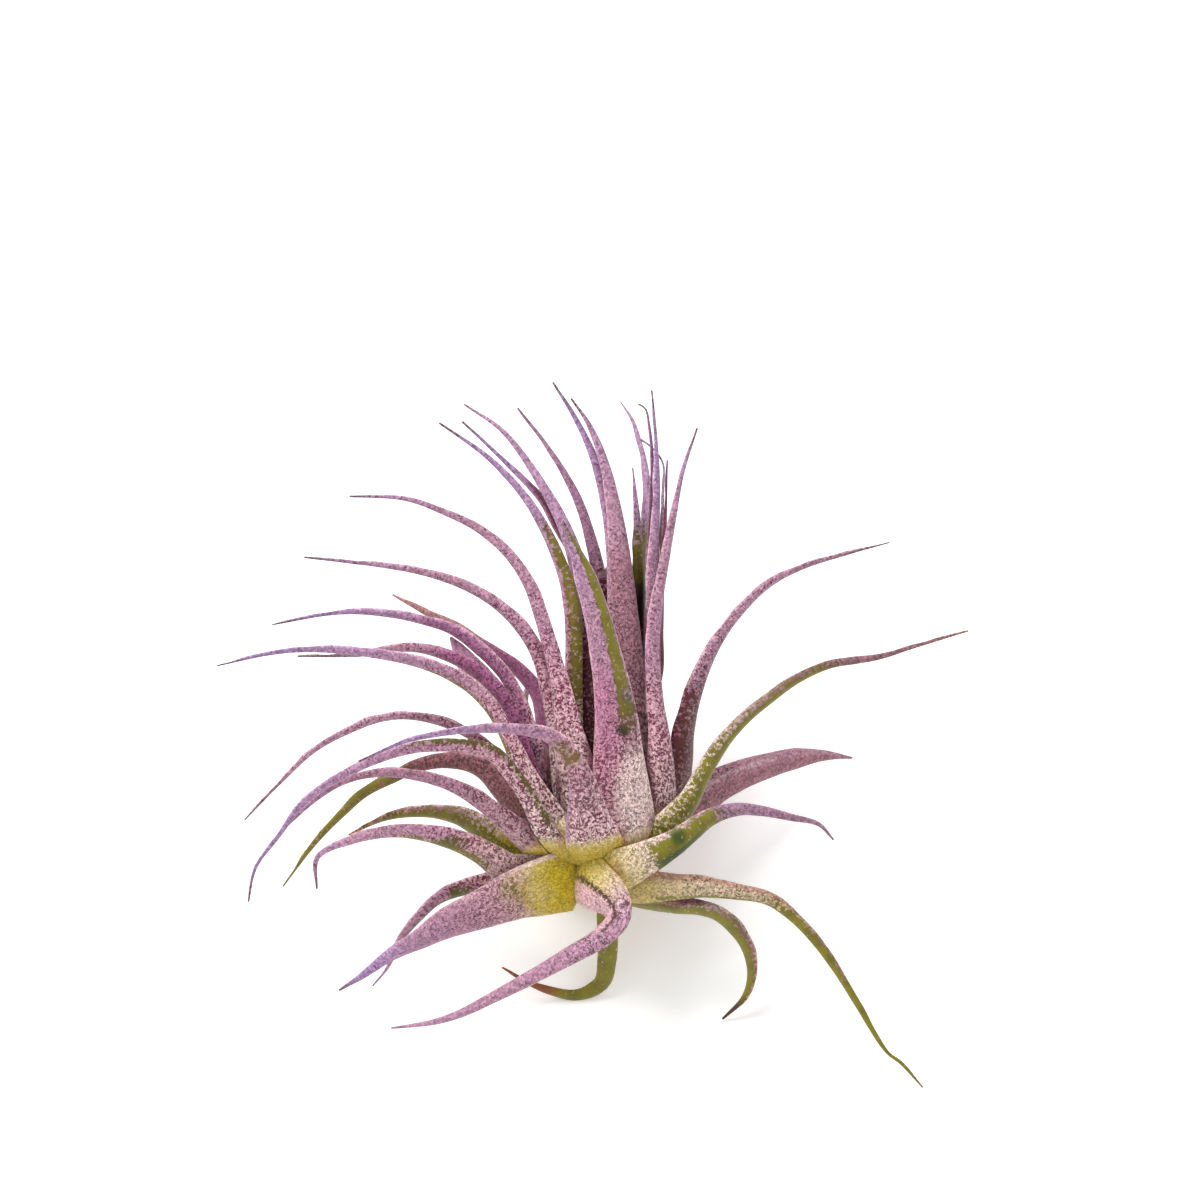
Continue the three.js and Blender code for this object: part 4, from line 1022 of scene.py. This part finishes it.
def store(obj, name, kind, values):
    """Keeps a value at every point of a piece, for its material to read."""
    attribute = obj.data.attributes.new(name, kind, "POINT")
    key = {"FLOAT": "value", "FLOAT_VECTOR": "vector", "FLOAT_COLOR": "color"}[kind]
    if kind == "FLOAT_COLOR":
        values = np.hstack([values, np.ones((len(values), 1))])
    attribute.data.foreach_set(key, np.asarray(values, np.float32).ravel())


def window(value, low, high, soft):
    """1 between low and high, easing to 0 within soft of them."""
    return smoothstep(value, low - soft, low) * (1 - smoothstep(value, high, high + soft))


def nearness(obj, tree):
    """How near each point is to the rooms of the leaves outside: 1 touching, 0 out of reach."""
    if tree is None:
        return np.zeros(len(obj.data.vertices))
    reach = CREASE_SHADE_REACH * MM
    near = []
    for point in points_of(obj):
        found = tree.find_nearest(Vector(point), reach)[3]
        near.append(0.0 if found is None else 1 - found / reach)
    return np.array(near)


def blend(skin, key, value, share):
    """Moves what the skin holds towards a value, by a share at each point."""
    if SKIN[key] == "FLOAT_COLOR":
        share = share[:, None]
    skin[key] = lerp(skin[key], value, share)


def plain_skin(row, part, face):
    """The leaf's tone along it, from its inner face to its outer one."""
    tone = TONES[row["finish"]]
    skin = tone_along(tone["inner"], part)
    for key, value in tone_along(tone["outer"], part).items():
        blend(skin, key, value, face)
    return skin


def close_margins_paint_light(skin, part, cross, face):
    """Closes the scales at the margins, paints light on the blade's sides, shade on its keel, a
    pale edge.
    """
    across = np.abs(cross)
    margin = smoothstep(across, *MARGIN)
    blend(skin, "cover", CLOSE_COVER, margin)
    skin["fleck"] = skin["fleck"] * (1 - MARGIN_UNFLECKED * margin)
    free = smoothstep(part, *FREE_BLADE) * face
    lit = free * smoothstep(across, *LIT_SIDE)
    # Painted light on the blade's sides, painted shade down its keel, and an edge that is partly
    # paler scales, partly a painted highlight
    light = 1 + SIDE_LIGHT * lit - KEEL_SHADE * (1 - lit) * free
    skin["scale"] = skin["scale"] * light[:, None]
    blend(skin, "scale", linear(BLUSH), PALE_LIT_SHARE * free * smoothstep(across, *PALE_LIT_EDGE))


def paint_foot(skin, row, run, points):
    """Paints the foot cream and then yellow; gives how cream and how yellow each point is."""
    across, along, _ = points.T
    if row["name"].startswith(BESIDE_BOWL):
        foot = run - FOOT_RUN.get(row["name"], FOOT_RUN_OTHER) + FOOT_YELLOW
    else:
        rim = RIM[1] + np.where(across < RIM[0], *RIM_CLIMB) * (across - RIM[0]) ** 2
        foot = along - rim
        for start, end, lift in (LOW_ON_BLADE, FAR_ON_BLADE):
            foot = foot + lift * smoothstep(run, start, end)
    seed = ORDER[row["name"]] + FOOT_SEED
    foot = foot + FOOT_WAVER * wavers(seed, across * FOOT_WAVER_FINE)
    cream = 1 - smoothstep(foot, FOOT_YELLOW, FOOT_CREAM)
    yellow = 1 - smoothstep(foot, FOOT_YELLOW - YELLOW_EDGE, FOOT_YELLOW + YELLOW_EDGE)
    blend(skin, "scale", linear(CREAM), cream * FOOT_TINT)
    blend(skin, "scale", linear(YELLOW), yellow * FOOT_TINT)
    blend(skin, "flesh", linear(LIME), cream)
    skin["fleck"] = skin["fleck"] * (1 - FOOT_UNFLECKED * cream)
    blend(skin, "cover", FOOT_COVER, cream)
    return cream, yellow


def marks_on(row, part, cross, points):
    """How strongly each strip and then each spot shows at each point, its look and colour."""
    for start, end, low, high, look, colour, strength, soft in STRIPS.get(row["name"], []):
        share = window(part, start, end, STRIP_END + STRIP_END_SOFT * soft)
        yield share * window(cross, low, high, soft) * strength, look, colour
    across, along, near = points.T
    for right, up, reach_right, reach_up, look, colour, strength, _ in SPOTS.get(row["name"], []):
        gap = np.hypot((across - right) / reach_right, (along - up) / reach_up)
        yield (1 - smoothstep(gap, *SPOT_EDGE)) * strength * (near > 0), look, colour


def paint_marks(skin, marks, face):
    """Lays the marks on a leaf; gives how much of the painted crease shade they leave dark."""
    crease_shade_left = np.ones(len(skin["cover"]))
    for share, look, colour in marks:
        share = share * face
        if look == "bare":
            blend(skin, "flesh", linear(colour), share)
            blend(skin, "scale", linear(colour) * BARE_LIGHT, share * BARE_SHARE)
            skin["cover"] = skin["cover"] * (1 - BARE_UNCOVERED * share)
            continue
        blend(skin, "scale", linear(colour), share)
        blend(skin, "flesh", linear(colour) * UNDER_TINT, share)
        blend(skin, "cover", CLOSE_COVER, share)
        if look == "felt":
            skin["fleck"] = skin["fleck"] * (1 - FELT_UNFLECKED * share)
            crease_shade_left = crease_shade_left * (1 - FELT_CREASE_SHADE * share)
    return crease_shade_left


def paint_crease_shade(skin, touch, cream, yellow, crease_shade_left):
    """Paints crease shade, plum to maroon and rust on the cream foot, where outer leaves lie close.
    """
    dark = smoothstep(touch, *CREASE_SHADE_DARK) * (1 - CREASE_SHADE_ON_YELLOW * yellow) * crease_shade_left
    crease_shade_colour = lerp(linear(PLUM), linear(MAROON), smoothstep(touch, *CREASE_SHADE_MAROON)[:, None])
    crease_shade_colour = lerp(crease_shade_colour, linear(RUST), cream[:, None])
    blend(skin, "scale", crease_shade_colour, dark * lerp(*CREASE_SHADE_STRONG, cream))
    blend(skin, "flesh", linear(MAROON) * CREASE_SHADE_FLESH, dark * (1 - cream))


def paint_leaf(obj, row, line, tree):
    """Gives each point of a leaf its place on the leaf, its colours and its scales."""
    points = stand_up(points_of(obj))
    run, cross, out = where_on_leaf(line, points)
    part = run / line["length"]
    face = smoothstep(out / along_line(line, "thick", run), *OUTER_FACE)
    skin = plain_skin(row, part, face)
    close_margins_paint_light(skin, part, cross, face)
    cream, yellow = paint_foot(skin, row, run, points)
    marked = np.ones_like(face) if row["name"] in MARKED_INSIDE else face
    crease_shade_left = paint_marks(skin, marks_on(row, part, cross, points), marked)
    # Painted shade in the creases where the leaves outside lie close
    paint_crease_shade(skin, nearness(obj, tree), cream, yellow, crease_shade_left)
    for key, kind in SKIN.items():
        store(obj, key, kind, skin[key])
    sideways = cross * along_line(line, "width", run) / 2
    start = ORDER[row["name"]] * PATTERN_STEP
    store(obj, "place", "FLOAT_VECTOR", np.stack([sideways, run + start, out], axis=1))


# Finishes

def add_node(tree, kind, settings=None, inputs=None):
    node = tree.nodes.new(kind)
    for key, value in (settings or {}).items():
        setattr(node, key, value)
    for key, value in (inputs or {}).items():
        if isinstance(value, bpy.types.NodeSocket):
            tree.links.new(value, node.inputs[key])
        else:
            node.inputs[key].default_value = value
    return node


def math_node(tree, operation, first, second=0.0):
    return add_node(
        tree, "ShaderNodeMath", {"operation": operation}, {0: first, 1: second}).outputs[0]


def ramp(tree, value, low, high, start=0.0, end=1.0):
    """The value eased from start at low to end at high."""
    return add_node(
        tree, "ShaderNodeMapRange", {"interpolation_type": "SMOOTHSTEP"},
        {"Value": value, "From Min": low, "From Max": high, "To Min": start, "To Max": end},
    ).outputs[0]


def mix_colour(tree, share, first, second):
    return add_node(
        tree, "ShaderNodeMix", {"data_type": "RGBA"}, {0: share, 6: first, 7: second}).outputs[2]


def attribute(tree, name, output):
    return add_node(tree, "ShaderNodeAttribute", {"attribute_name": name}).outputs[output]


def noise(tree, place, fine, layers, **more):
    return add_node(
        tree, "ShaderNodeTexNoise", None,
        {"Vector": place, "Scale": fine, "Detail": layers, **more}).outputs


def new_material(name):
    """A new material, its node tree and its shader."""
    material = bpy.data.materials.new(name)
    material.use_nodes = True
    tree = material.node_tree
    return material, tree, tree.nodes["Principled BSDF"]


def raise_surface(tree, shader, height, distance, strength):
    """Lets a height stand out from the surface, by a distance in metres."""
    bump = add_node(
        tree, "ShaderNodeBump", None,
        {"Height": height, "Distance": distance, "Strength": strength})
    tree.links.new(bump.outputs["Normal"], shader.inputs["Normal"])


# A leaf's pattern, on its own place in mm. How finely and how layered the noises are that warp
# the scales, mottle the skin and patch it; how far scales are warped, how they are drawn out
# along the leaf, and from where to where in a cloud of noise things change.
WARP = (5.0, 1.0)
MOTTLE = (2.4, 3.0)
PATCH = (0.6, 2.0)
WARP_REACH = (0.15, 0.15, 0.15)
DRAWN_OUT = (1.0, 0.7, 1.0)
CLOUD = (0.3, 0.7)

# How much chance and mottling loosen a scale, and how sharply scales end
LOOSE_CHANCE = 0.3
LOOSE_MOTTLE = 0.7
SCALE_END = 0.06

# Flecks follow the middle level of a noise: what it is like, how wide they are, how sharp their
# edge is, how much coarser the noise is that breaks them off, how layered it is and where they
# break, and how much felt is left in them
FLECK_LAYERS = 1.5
FLECK_NOISE = {"Roughness": 0.55, "Distortion": 0.4}
FLECK_LEVEL = 0.5
FLECK_WIDE = (0.07, 0.14)
FLECK_EDGE = (-0.005, 0.02)
BREAK_COARSER = 0.8
BREAK_LAYERS = 1.0
BREAK_FROM = (0.4, 0.52)
FELT_LEFT = 0.06

# How light the scales are, how many are thin and how much flesh shows through them, and where
# and how much the flesh is shaded
SCALE_LIGHT = (0.7, 1.35)
THIN_FROM = (0.5, 1.0)
THIN_SHARE = 0.3
SHADE_FROM = (0.4, 0.7)
SHADE_SHARE = 0.3
SHADE = (0.02, 0.008, 0.01, 1.0)

# How much smoother bare flesh is than felt, how rough the sheen and how glossy a leaf is, and how
# high the scales stand, in metres
FLESH_SMOOTHER = 0.3
SHEEN_ROUGHNESS = 0.5
LEAF_GLOSS = 0.35
SCALE_RISE = 0.00008
SCALE_BUMP = 0.9


def leaf_finish(name, cells, worms, roughness, sheen):
    """Flesh under a felt of tiny pale scales, with dark worm-like flecks where they are missing.
    cells and worms are how many scales and flecks there are to a millimetre."""
    material, tree, shader = new_material(name)
    place = attribute(tree, "place", "Vector")
    fleck_share = attribute(tree, "fleck", "Fac")
    warp = noise(tree, place, *WARP)["Color"]
    bent = add_node(
        tree, "ShaderNodeVectorMath", {"operation": "MULTIPLY_ADD"},
        {0: warp, 1: WARP_REACH, 2: place}).outputs[0]
    drawn = add_node(
        tree, "ShaderNodeVectorMath", {"operation": "MULTIPLY"},
        {0: bent, 1: DRAWN_OUT}).outputs[0]
    cell = add_node(
        tree, "ShaderNodeTexVoronoi", {"feature": "F1"}, {"Vector": drawn, "Scale": cells})
    chance = add_node(tree, "ShaderNodeSeparateColor", None, {0: cell.outputs["Color"]}).outputs
    mottle = noise(tree, place, *MOTTLE)[0]
    loose = math_node(
        tree, "ADD", math_node(tree, "MULTIPLY", chance[0], LOOSE_CHANCE),
        ramp(tree, mottle, *CLOUD, 0.0, LOOSE_MOTTLE))
    held = ramp(
        tree, math_node(tree, "SUBTRACT", attribute(tree, "cover", "Fac"), loose),
        -SCALE_END, SCALE_END)

    grain = noise(tree, drawn, worms, FLECK_LAYERS, **FLECK_NOISE)[0]
    patch = noise(tree, place, *PATCH)[0]
    ridge = math_node(tree, "ABSOLUTE", math_node(tree, "SUBTRACT", grain, FLECK_LEVEL))
    width = math_node(tree, "MULTIPLY", fleck_share, ramp(tree, patch, *CLOUD, *FLECK_WIDE))
    worm = ramp(tree, math_node(tree, "SUBTRACT", width, ridge), *FLECK_EDGE)
    gaps = noise(tree, place, worms * BREAK_COARSER, BREAK_LAYERS)[0]
    worm = math_node(tree, "MULTIPLY", worm, ramp(tree, gaps, *BREAK_FROM))
    felt = math_node(tree, "MULTIPLY", held, ramp(tree, worm, 0.0, 1.0, 1.0, FELT_LEFT))

    pale = add_node(
        tree, "ShaderNodeVectorMath", {"operation": "SCALE"},
        {0: attribute(tree, "scale", "Color"),
         "Scale": ramp(tree, chance[1], 0.0, 1.0, *SCALE_LIGHT)}).outputs[0]
    pale = mix_colour(
        tree, ramp(tree, chance[2], *THIN_FROM, 0.0, THIN_SHARE), pale,
        attribute(tree, "flesh", "Color"))
    skin = mix_colour(
        tree, ramp(tree, patch, *SHADE_FROM, 0.0, SHADE_SHARE),
        attribute(tree, "flesh", "Color"), SHADE)
    tree.links.new(mix_colour(tree, felt, skin, pale), shader.inputs["Base Color"])
    rough = ramp(tree, felt, 0.0, 1.0, roughness - FLESH_SMOOTHER, roughness)
    tree.links.new(rough, shader.inputs["Roughness"])
    shader.inputs["Sheen Weight"].default_value = sheen
    shader.inputs["Sheen Roughness"].default_value = SHEEN_ROUGHNESS
    shader.inputs["Specular IOR Level"].default_value = LEAF_GLOSS
    raise_surface(tree, shader, felt, SCALE_RISE, SCALE_BUMP)
    return material


# The stem's grain: how fine and how layered it is, where it turns from dark to light, how rough
# it is, and how high it stands, in metres
WOOD_GRAIN = (1800.0, 4.0)
WOOD_BANDS = (0.35, 0.65)
WOOD_ROUGHNESS = 0.85
WOOD_RISE = 0.0001
WOOD_BUMP = 0.8


def wood_finish(name):
    """Dry brown stem with rings of scars."""
    material, tree, shader = new_material(name)
    spot = add_node(tree, "ShaderNodeTexCoord").outputs["Object"]
    grain = noise(tree, spot, *WOOD_GRAIN)[0]
    colour = mix_colour(
        tree, ramp(tree, grain, *WOOD_BANDS), (*linear(BARK), 1), (*linear(STRAW), 1))
    tree.links.new(colour, shader.inputs["Base Color"])
    shader.inputs["Roughness"].default_value = WOOD_ROUGHNESS
    raise_surface(tree, shader, grain, WOOD_RISE, WOOD_BUMP)
    return material


# How many scales and flecks to a millimetre, roughness and sheen of each finish
FINISHES = {
    "lilac": (7.0, 3.5, 0.85, 0.15),
    "pink": (6.6, 3.3, 0.85, 0.15),
    "olive": (6.6, 3.4, 0.75, 0.1),
    "maroon": (6.6, 3.4, 0.75, 0.12),
    "straw": (8.0, 4.0, 0.85, 0.15),
}


def finish_of(kind):
    name = "scaled " + kind
    return bpy.data.materials.get(name) or leaf_finish(name, *FINISHES[kind])


# Faces that meet more flatly than this are shaded as one
SMOOTH_ANGLE = math.radians(40)


def settle(obj, node, material):
    """Ties a finished piece to the frame, in place of its plain solid."""
    obj.data.materials.clear()
    obj.data.materials.append(material)
    select_only(obj)
    bpy.ops.object.shade_smooth_by_angle(angle=SMOOTH_ANGLE)
    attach(obj, BODY)
    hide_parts(node)


# How many sides each kind of piece has round it, and how far apart its rings are, in mm, or how
# many it has. A room is a piece's shape grown by the crease, which inner leaves are cut with.
STEM_SIDES = 32
STEM_RINGS = 60
LEAF_SIDES = 28
FRONT_LEAF_SIDES = 40
UNDER_LEAF_SIDES = 14
RING_STEP = 0.55
UNDER_RING_STEP = 0.88
ROOM_SIDES = 14
ROOM_RINGS = 8
ROOM_STEP = 1.6
ROOMS = {}


def room_of(name):
    """The room of the stem or a leaf and its search tree, made when it is first asked for."""
    if name not in ROOMS:
        gap = bpy.context.scene.plant_sizes.crease / MM
        if name == "stem":
            room = stem_shell("room_of_stem", ROOM_SIDES, ROOM_RINGS, gap)
        else:
            row = LEAVES[ORDER[name]]
            line = middle_line(row)
            rings = max(ROOM_RINGS, int(line["length"] / ROOM_STEP))
            room = leaf_shell("room_of_" + name, row, line, ROOM_SIDES, rings, gap)
        ROOMS[name] = (room, surface_tree(room))
    return ROOMS[name]


def build_leaf(row):
    """One leaf: drawn out, cut where outer leaves lie on it, painted and tied to the frame."""
    name = row["name"]
    line = middle_line(row)
    under, front = name.startswith("leaf_under"), name.startswith("leaf_front")
    sides = UNDER_LEAF_SIDES if under else FRONT_LEAF_SIDES if front else LEAF_SIDES
    step = UNDER_RING_STEP if under else RING_STEP
    obj = leaf_shell(name + "_scaled", row, line, sides, int(line["length"] / step))
    near = []
    for outside in ["stem"] + [other["name"] for other in LEAVES[:ORDER[name]]]:
        room, tree = room_of(outside)
        if not boxes_meet(obj, room):
            continue
        if outside != "stem":
            near.append(room)
        if surface_tree(obj).overlap(tree):
            cut_away(obj, room)
    obj = keep_largest(obj)
    trim_at_ground(obj)
    paint_leaf(obj, row, line, joint_tree(near))
    settle(obj, name, finish_of(row["finish"]))


def build_group(prefix):
    rows = [row for row in LEAVES if row["name"].startswith(prefix)]
    if not rows:
        raise RuntimeError("no leaf is named " + prefix)
    for row in rows:
        build_leaf(row)


def clear_rooms():
    for room, _ in ROOMS.values():
        bpy.data.objects.remove(room)
    ROOMS.clear()


class PLANT_OT_stem(bpy.types.Operator):
    """Make the short woody stem that the leaves clasp"""
    bl_idname = "plant.stem"
    bl_label = "Stem"

    def execute(self, context):
        stem = stem_shell("stem_woody", STEM_SIDES, STEM_RINGS)
        settle(stem, "stem", wood_finish("dry wood"))
        return {"FINISHED"}


class PLANT_OT_front_leaves(bpy.types.Operator):
    """Make the leaves in front of the bulb"""
    bl_idname = "plant.front_leaves"
    bl_label = "Front leaves"

    def execute(self, context):
        build_group("leaf_front")
        return {"FINISHED"}


class PLANT_OT_left_leaves(bpy.types.Operator):
    """Make the leaves that reach to the left"""
    bl_idname = "plant.left_leaves"
    bl_label = "Left leaves"

    def execute(self, context):
        build_group("leaf_left")
        return {"FINISHED"}


class PLANT_OT_low_leaves(bpy.types.Operator):
    """Make the leaves that bend back below the bulb"""
    bl_idname = "plant.low_leaves"
    bl_label = "Low leaves"

    def execute(self, context):
        build_group("leaf_low")
        return {"FINISHED"}


class PLANT_OT_right_leaves(bpy.types.Operator):
    """Make the leaves that reach to the right"""
    bl_idname = "plant.right_leaves"
    bl_label = "Right leaves"

    def execute(self, context):
        build_group("leaf_right")
        return {"FINISHED"}


class PLANT_OT_centre_leaves(bpy.types.Operator):
    """Make the upright leaves of the crown"""
    bl_idname = "plant.centre_leaves"
    bl_label = "Centre leaves"

    def execute(self, context):
        build_group("leaf_centre")
        return {"FINISHED"}


class PLANT_OT_under_leaves(bpy.types.Operator):
    """Make the leaves on the under side of the bulb"""
    bl_idname = "plant.under_leaves"
    bl_label = "Under leaves"

    def execute(self, context):
        build_group("leaf_under")
        return {"FINISHED"}


# Where the soft light stands, what it is turned to and its side, in metres; the camera's sensor
# in mm and how far it sees; and how rough and glossy the sheet is
LIGHT_PLACE = (-0.35, 0.35, 0.7)
LIGHT_AIM = Vector((0, 0.01, 0.02))
LIGHT_SIDE = 0.4
SENSOR_WIDTH = 36
SIGHT_END = 20
SHEET_ROUGHNESS = 0.9
SHEET_GLOSS = 0.1
WHITE = (1, 1, 1, 1)


class PLANT_OT_stage(bpy.types.Operator):
    """Set the plant on a white sheet under soft light, seen from above its front"""
    bl_idname = "plant.stage"
    bl_label = "Stage"

    def execute(self, context):
        scene = context.scene
        stage = scene.plant_stage
        deselect_all()
        bpy.ops.mesh.primitive_plane_add(size=stage.floor_size, location=(0, 0, 0))
        sheet = context.active_object
        sheet.name = "white_sheet"
        white, _, shader = new_material("white paper")
        shader.inputs["Base Color"].default_value = (*stage.floor_colour, 1)
        shader.inputs["Roughness"].default_value = SHEET_ROUGHNESS
        shader.inputs["Specular IOR Level"].default_value = SHEET_GLOSS
        shader.inputs["Emission Color"].default_value = WHITE
        shader.inputs["Emission Strength"].default_value = stage.floor_glow
        sheet.data.materials.append(white)

        world = bpy.data.worlds.new("even light")
        scene.world = world
        world.use_nodes = True
        sky = world.node_tree.nodes["Background"]
        sky.inputs["Color"].default_value = WHITE
        sky.inputs["Strength"].default_value = stage.sky_light

        bpy.ops.object.light_add(type="AREA", location=LIGHT_PLACE)
        key = context.active_object
        key.name = "soft_key"
        key.data.energy = stage.key_light
        key.data.size = LIGHT_SIDE
        aim = LIGHT_AIM - key.location
        key.rotation_euler = aim.to_track_quat("-Z", "Y").to_euler()

        rise = scene.plant_sizes.crown_rise
        target = Vector(lay_down([[value / MM for value in stage.view_middle]])[0])
        back = Vector((0, -math.sin(rise), math.cos(rise)))
        bpy.ops.object.camera_add(
            location=target + back * stage.camera_distance, rotation=(rise, 0, 0))
        camera = context.active_object
        camera.name = "camera"
        camera.data.sensor_width = SENSOR_WIDTH
        camera.data.lens = SENSOR_WIDTH * stage.camera_distance / stage.view_width
        camera.data.clip_end = SIGHT_END
        scene.camera = camera
        scene.view_settings.view_transform = "Standard"
        return {"FINISHED"}


class PLANT_PT_panel(bpy.types.Panel):
    """The plant's pieces and their sizes"""
    bl_idname = "PLANT_PT_panel"
    bl_label = "Air Plant"
    bl_space_type = "VIEW_3D"
    bl_region_type = "UI"
    bl_category = "Air Plant"

    def draw(self, context):
        for name in PIECES + ["stage"]:
            self.layout.operator("plant." + name)
        for group in (context.scene.plant_sizes, context.scene.plant_stage):
            for key in group.__annotations__:
                self.layout.prop(group, key)


PIECES = [
    "stem", "front_leaves", "left_leaves", "low_leaves", "right_leaves", "centre_leaves",
    "under_leaves",
]
CLASSES = [
    PlantSizes, StageSettings, PLANT_OT_stem, PLANT_OT_front_leaves, PLANT_OT_left_leaves,
    PLANT_OT_low_leaves, PLANT_OT_right_leaves, PLANT_OT_centre_leaves, PLANT_OT_under_leaves,
    PLANT_OT_stage, PLANT_PT_panel,
]


def register():
    for each in CLASSES:
        bpy.utils.register_class(each)
    bpy.types.Scene.plant_sizes = bpy.props.PointerProperty(type=PlantSizes)
    bpy.types.Scene.plant_stage = bpy.props.PointerProperty(type=StageSettings)


def unregister():
    del bpy.types.Scene.plant_stage
    del bpy.types.Scene.plant_sizes
    for each in reversed(CLASSES):
        bpy.utils.unregister_class(each)


def main():
    register()
    for name in PIECES:
        getattr(bpy.ops.plant, name)()
    clear_rooms()
    bpy.ops.plant.stage()


if __name__ == "__main__":
    main()
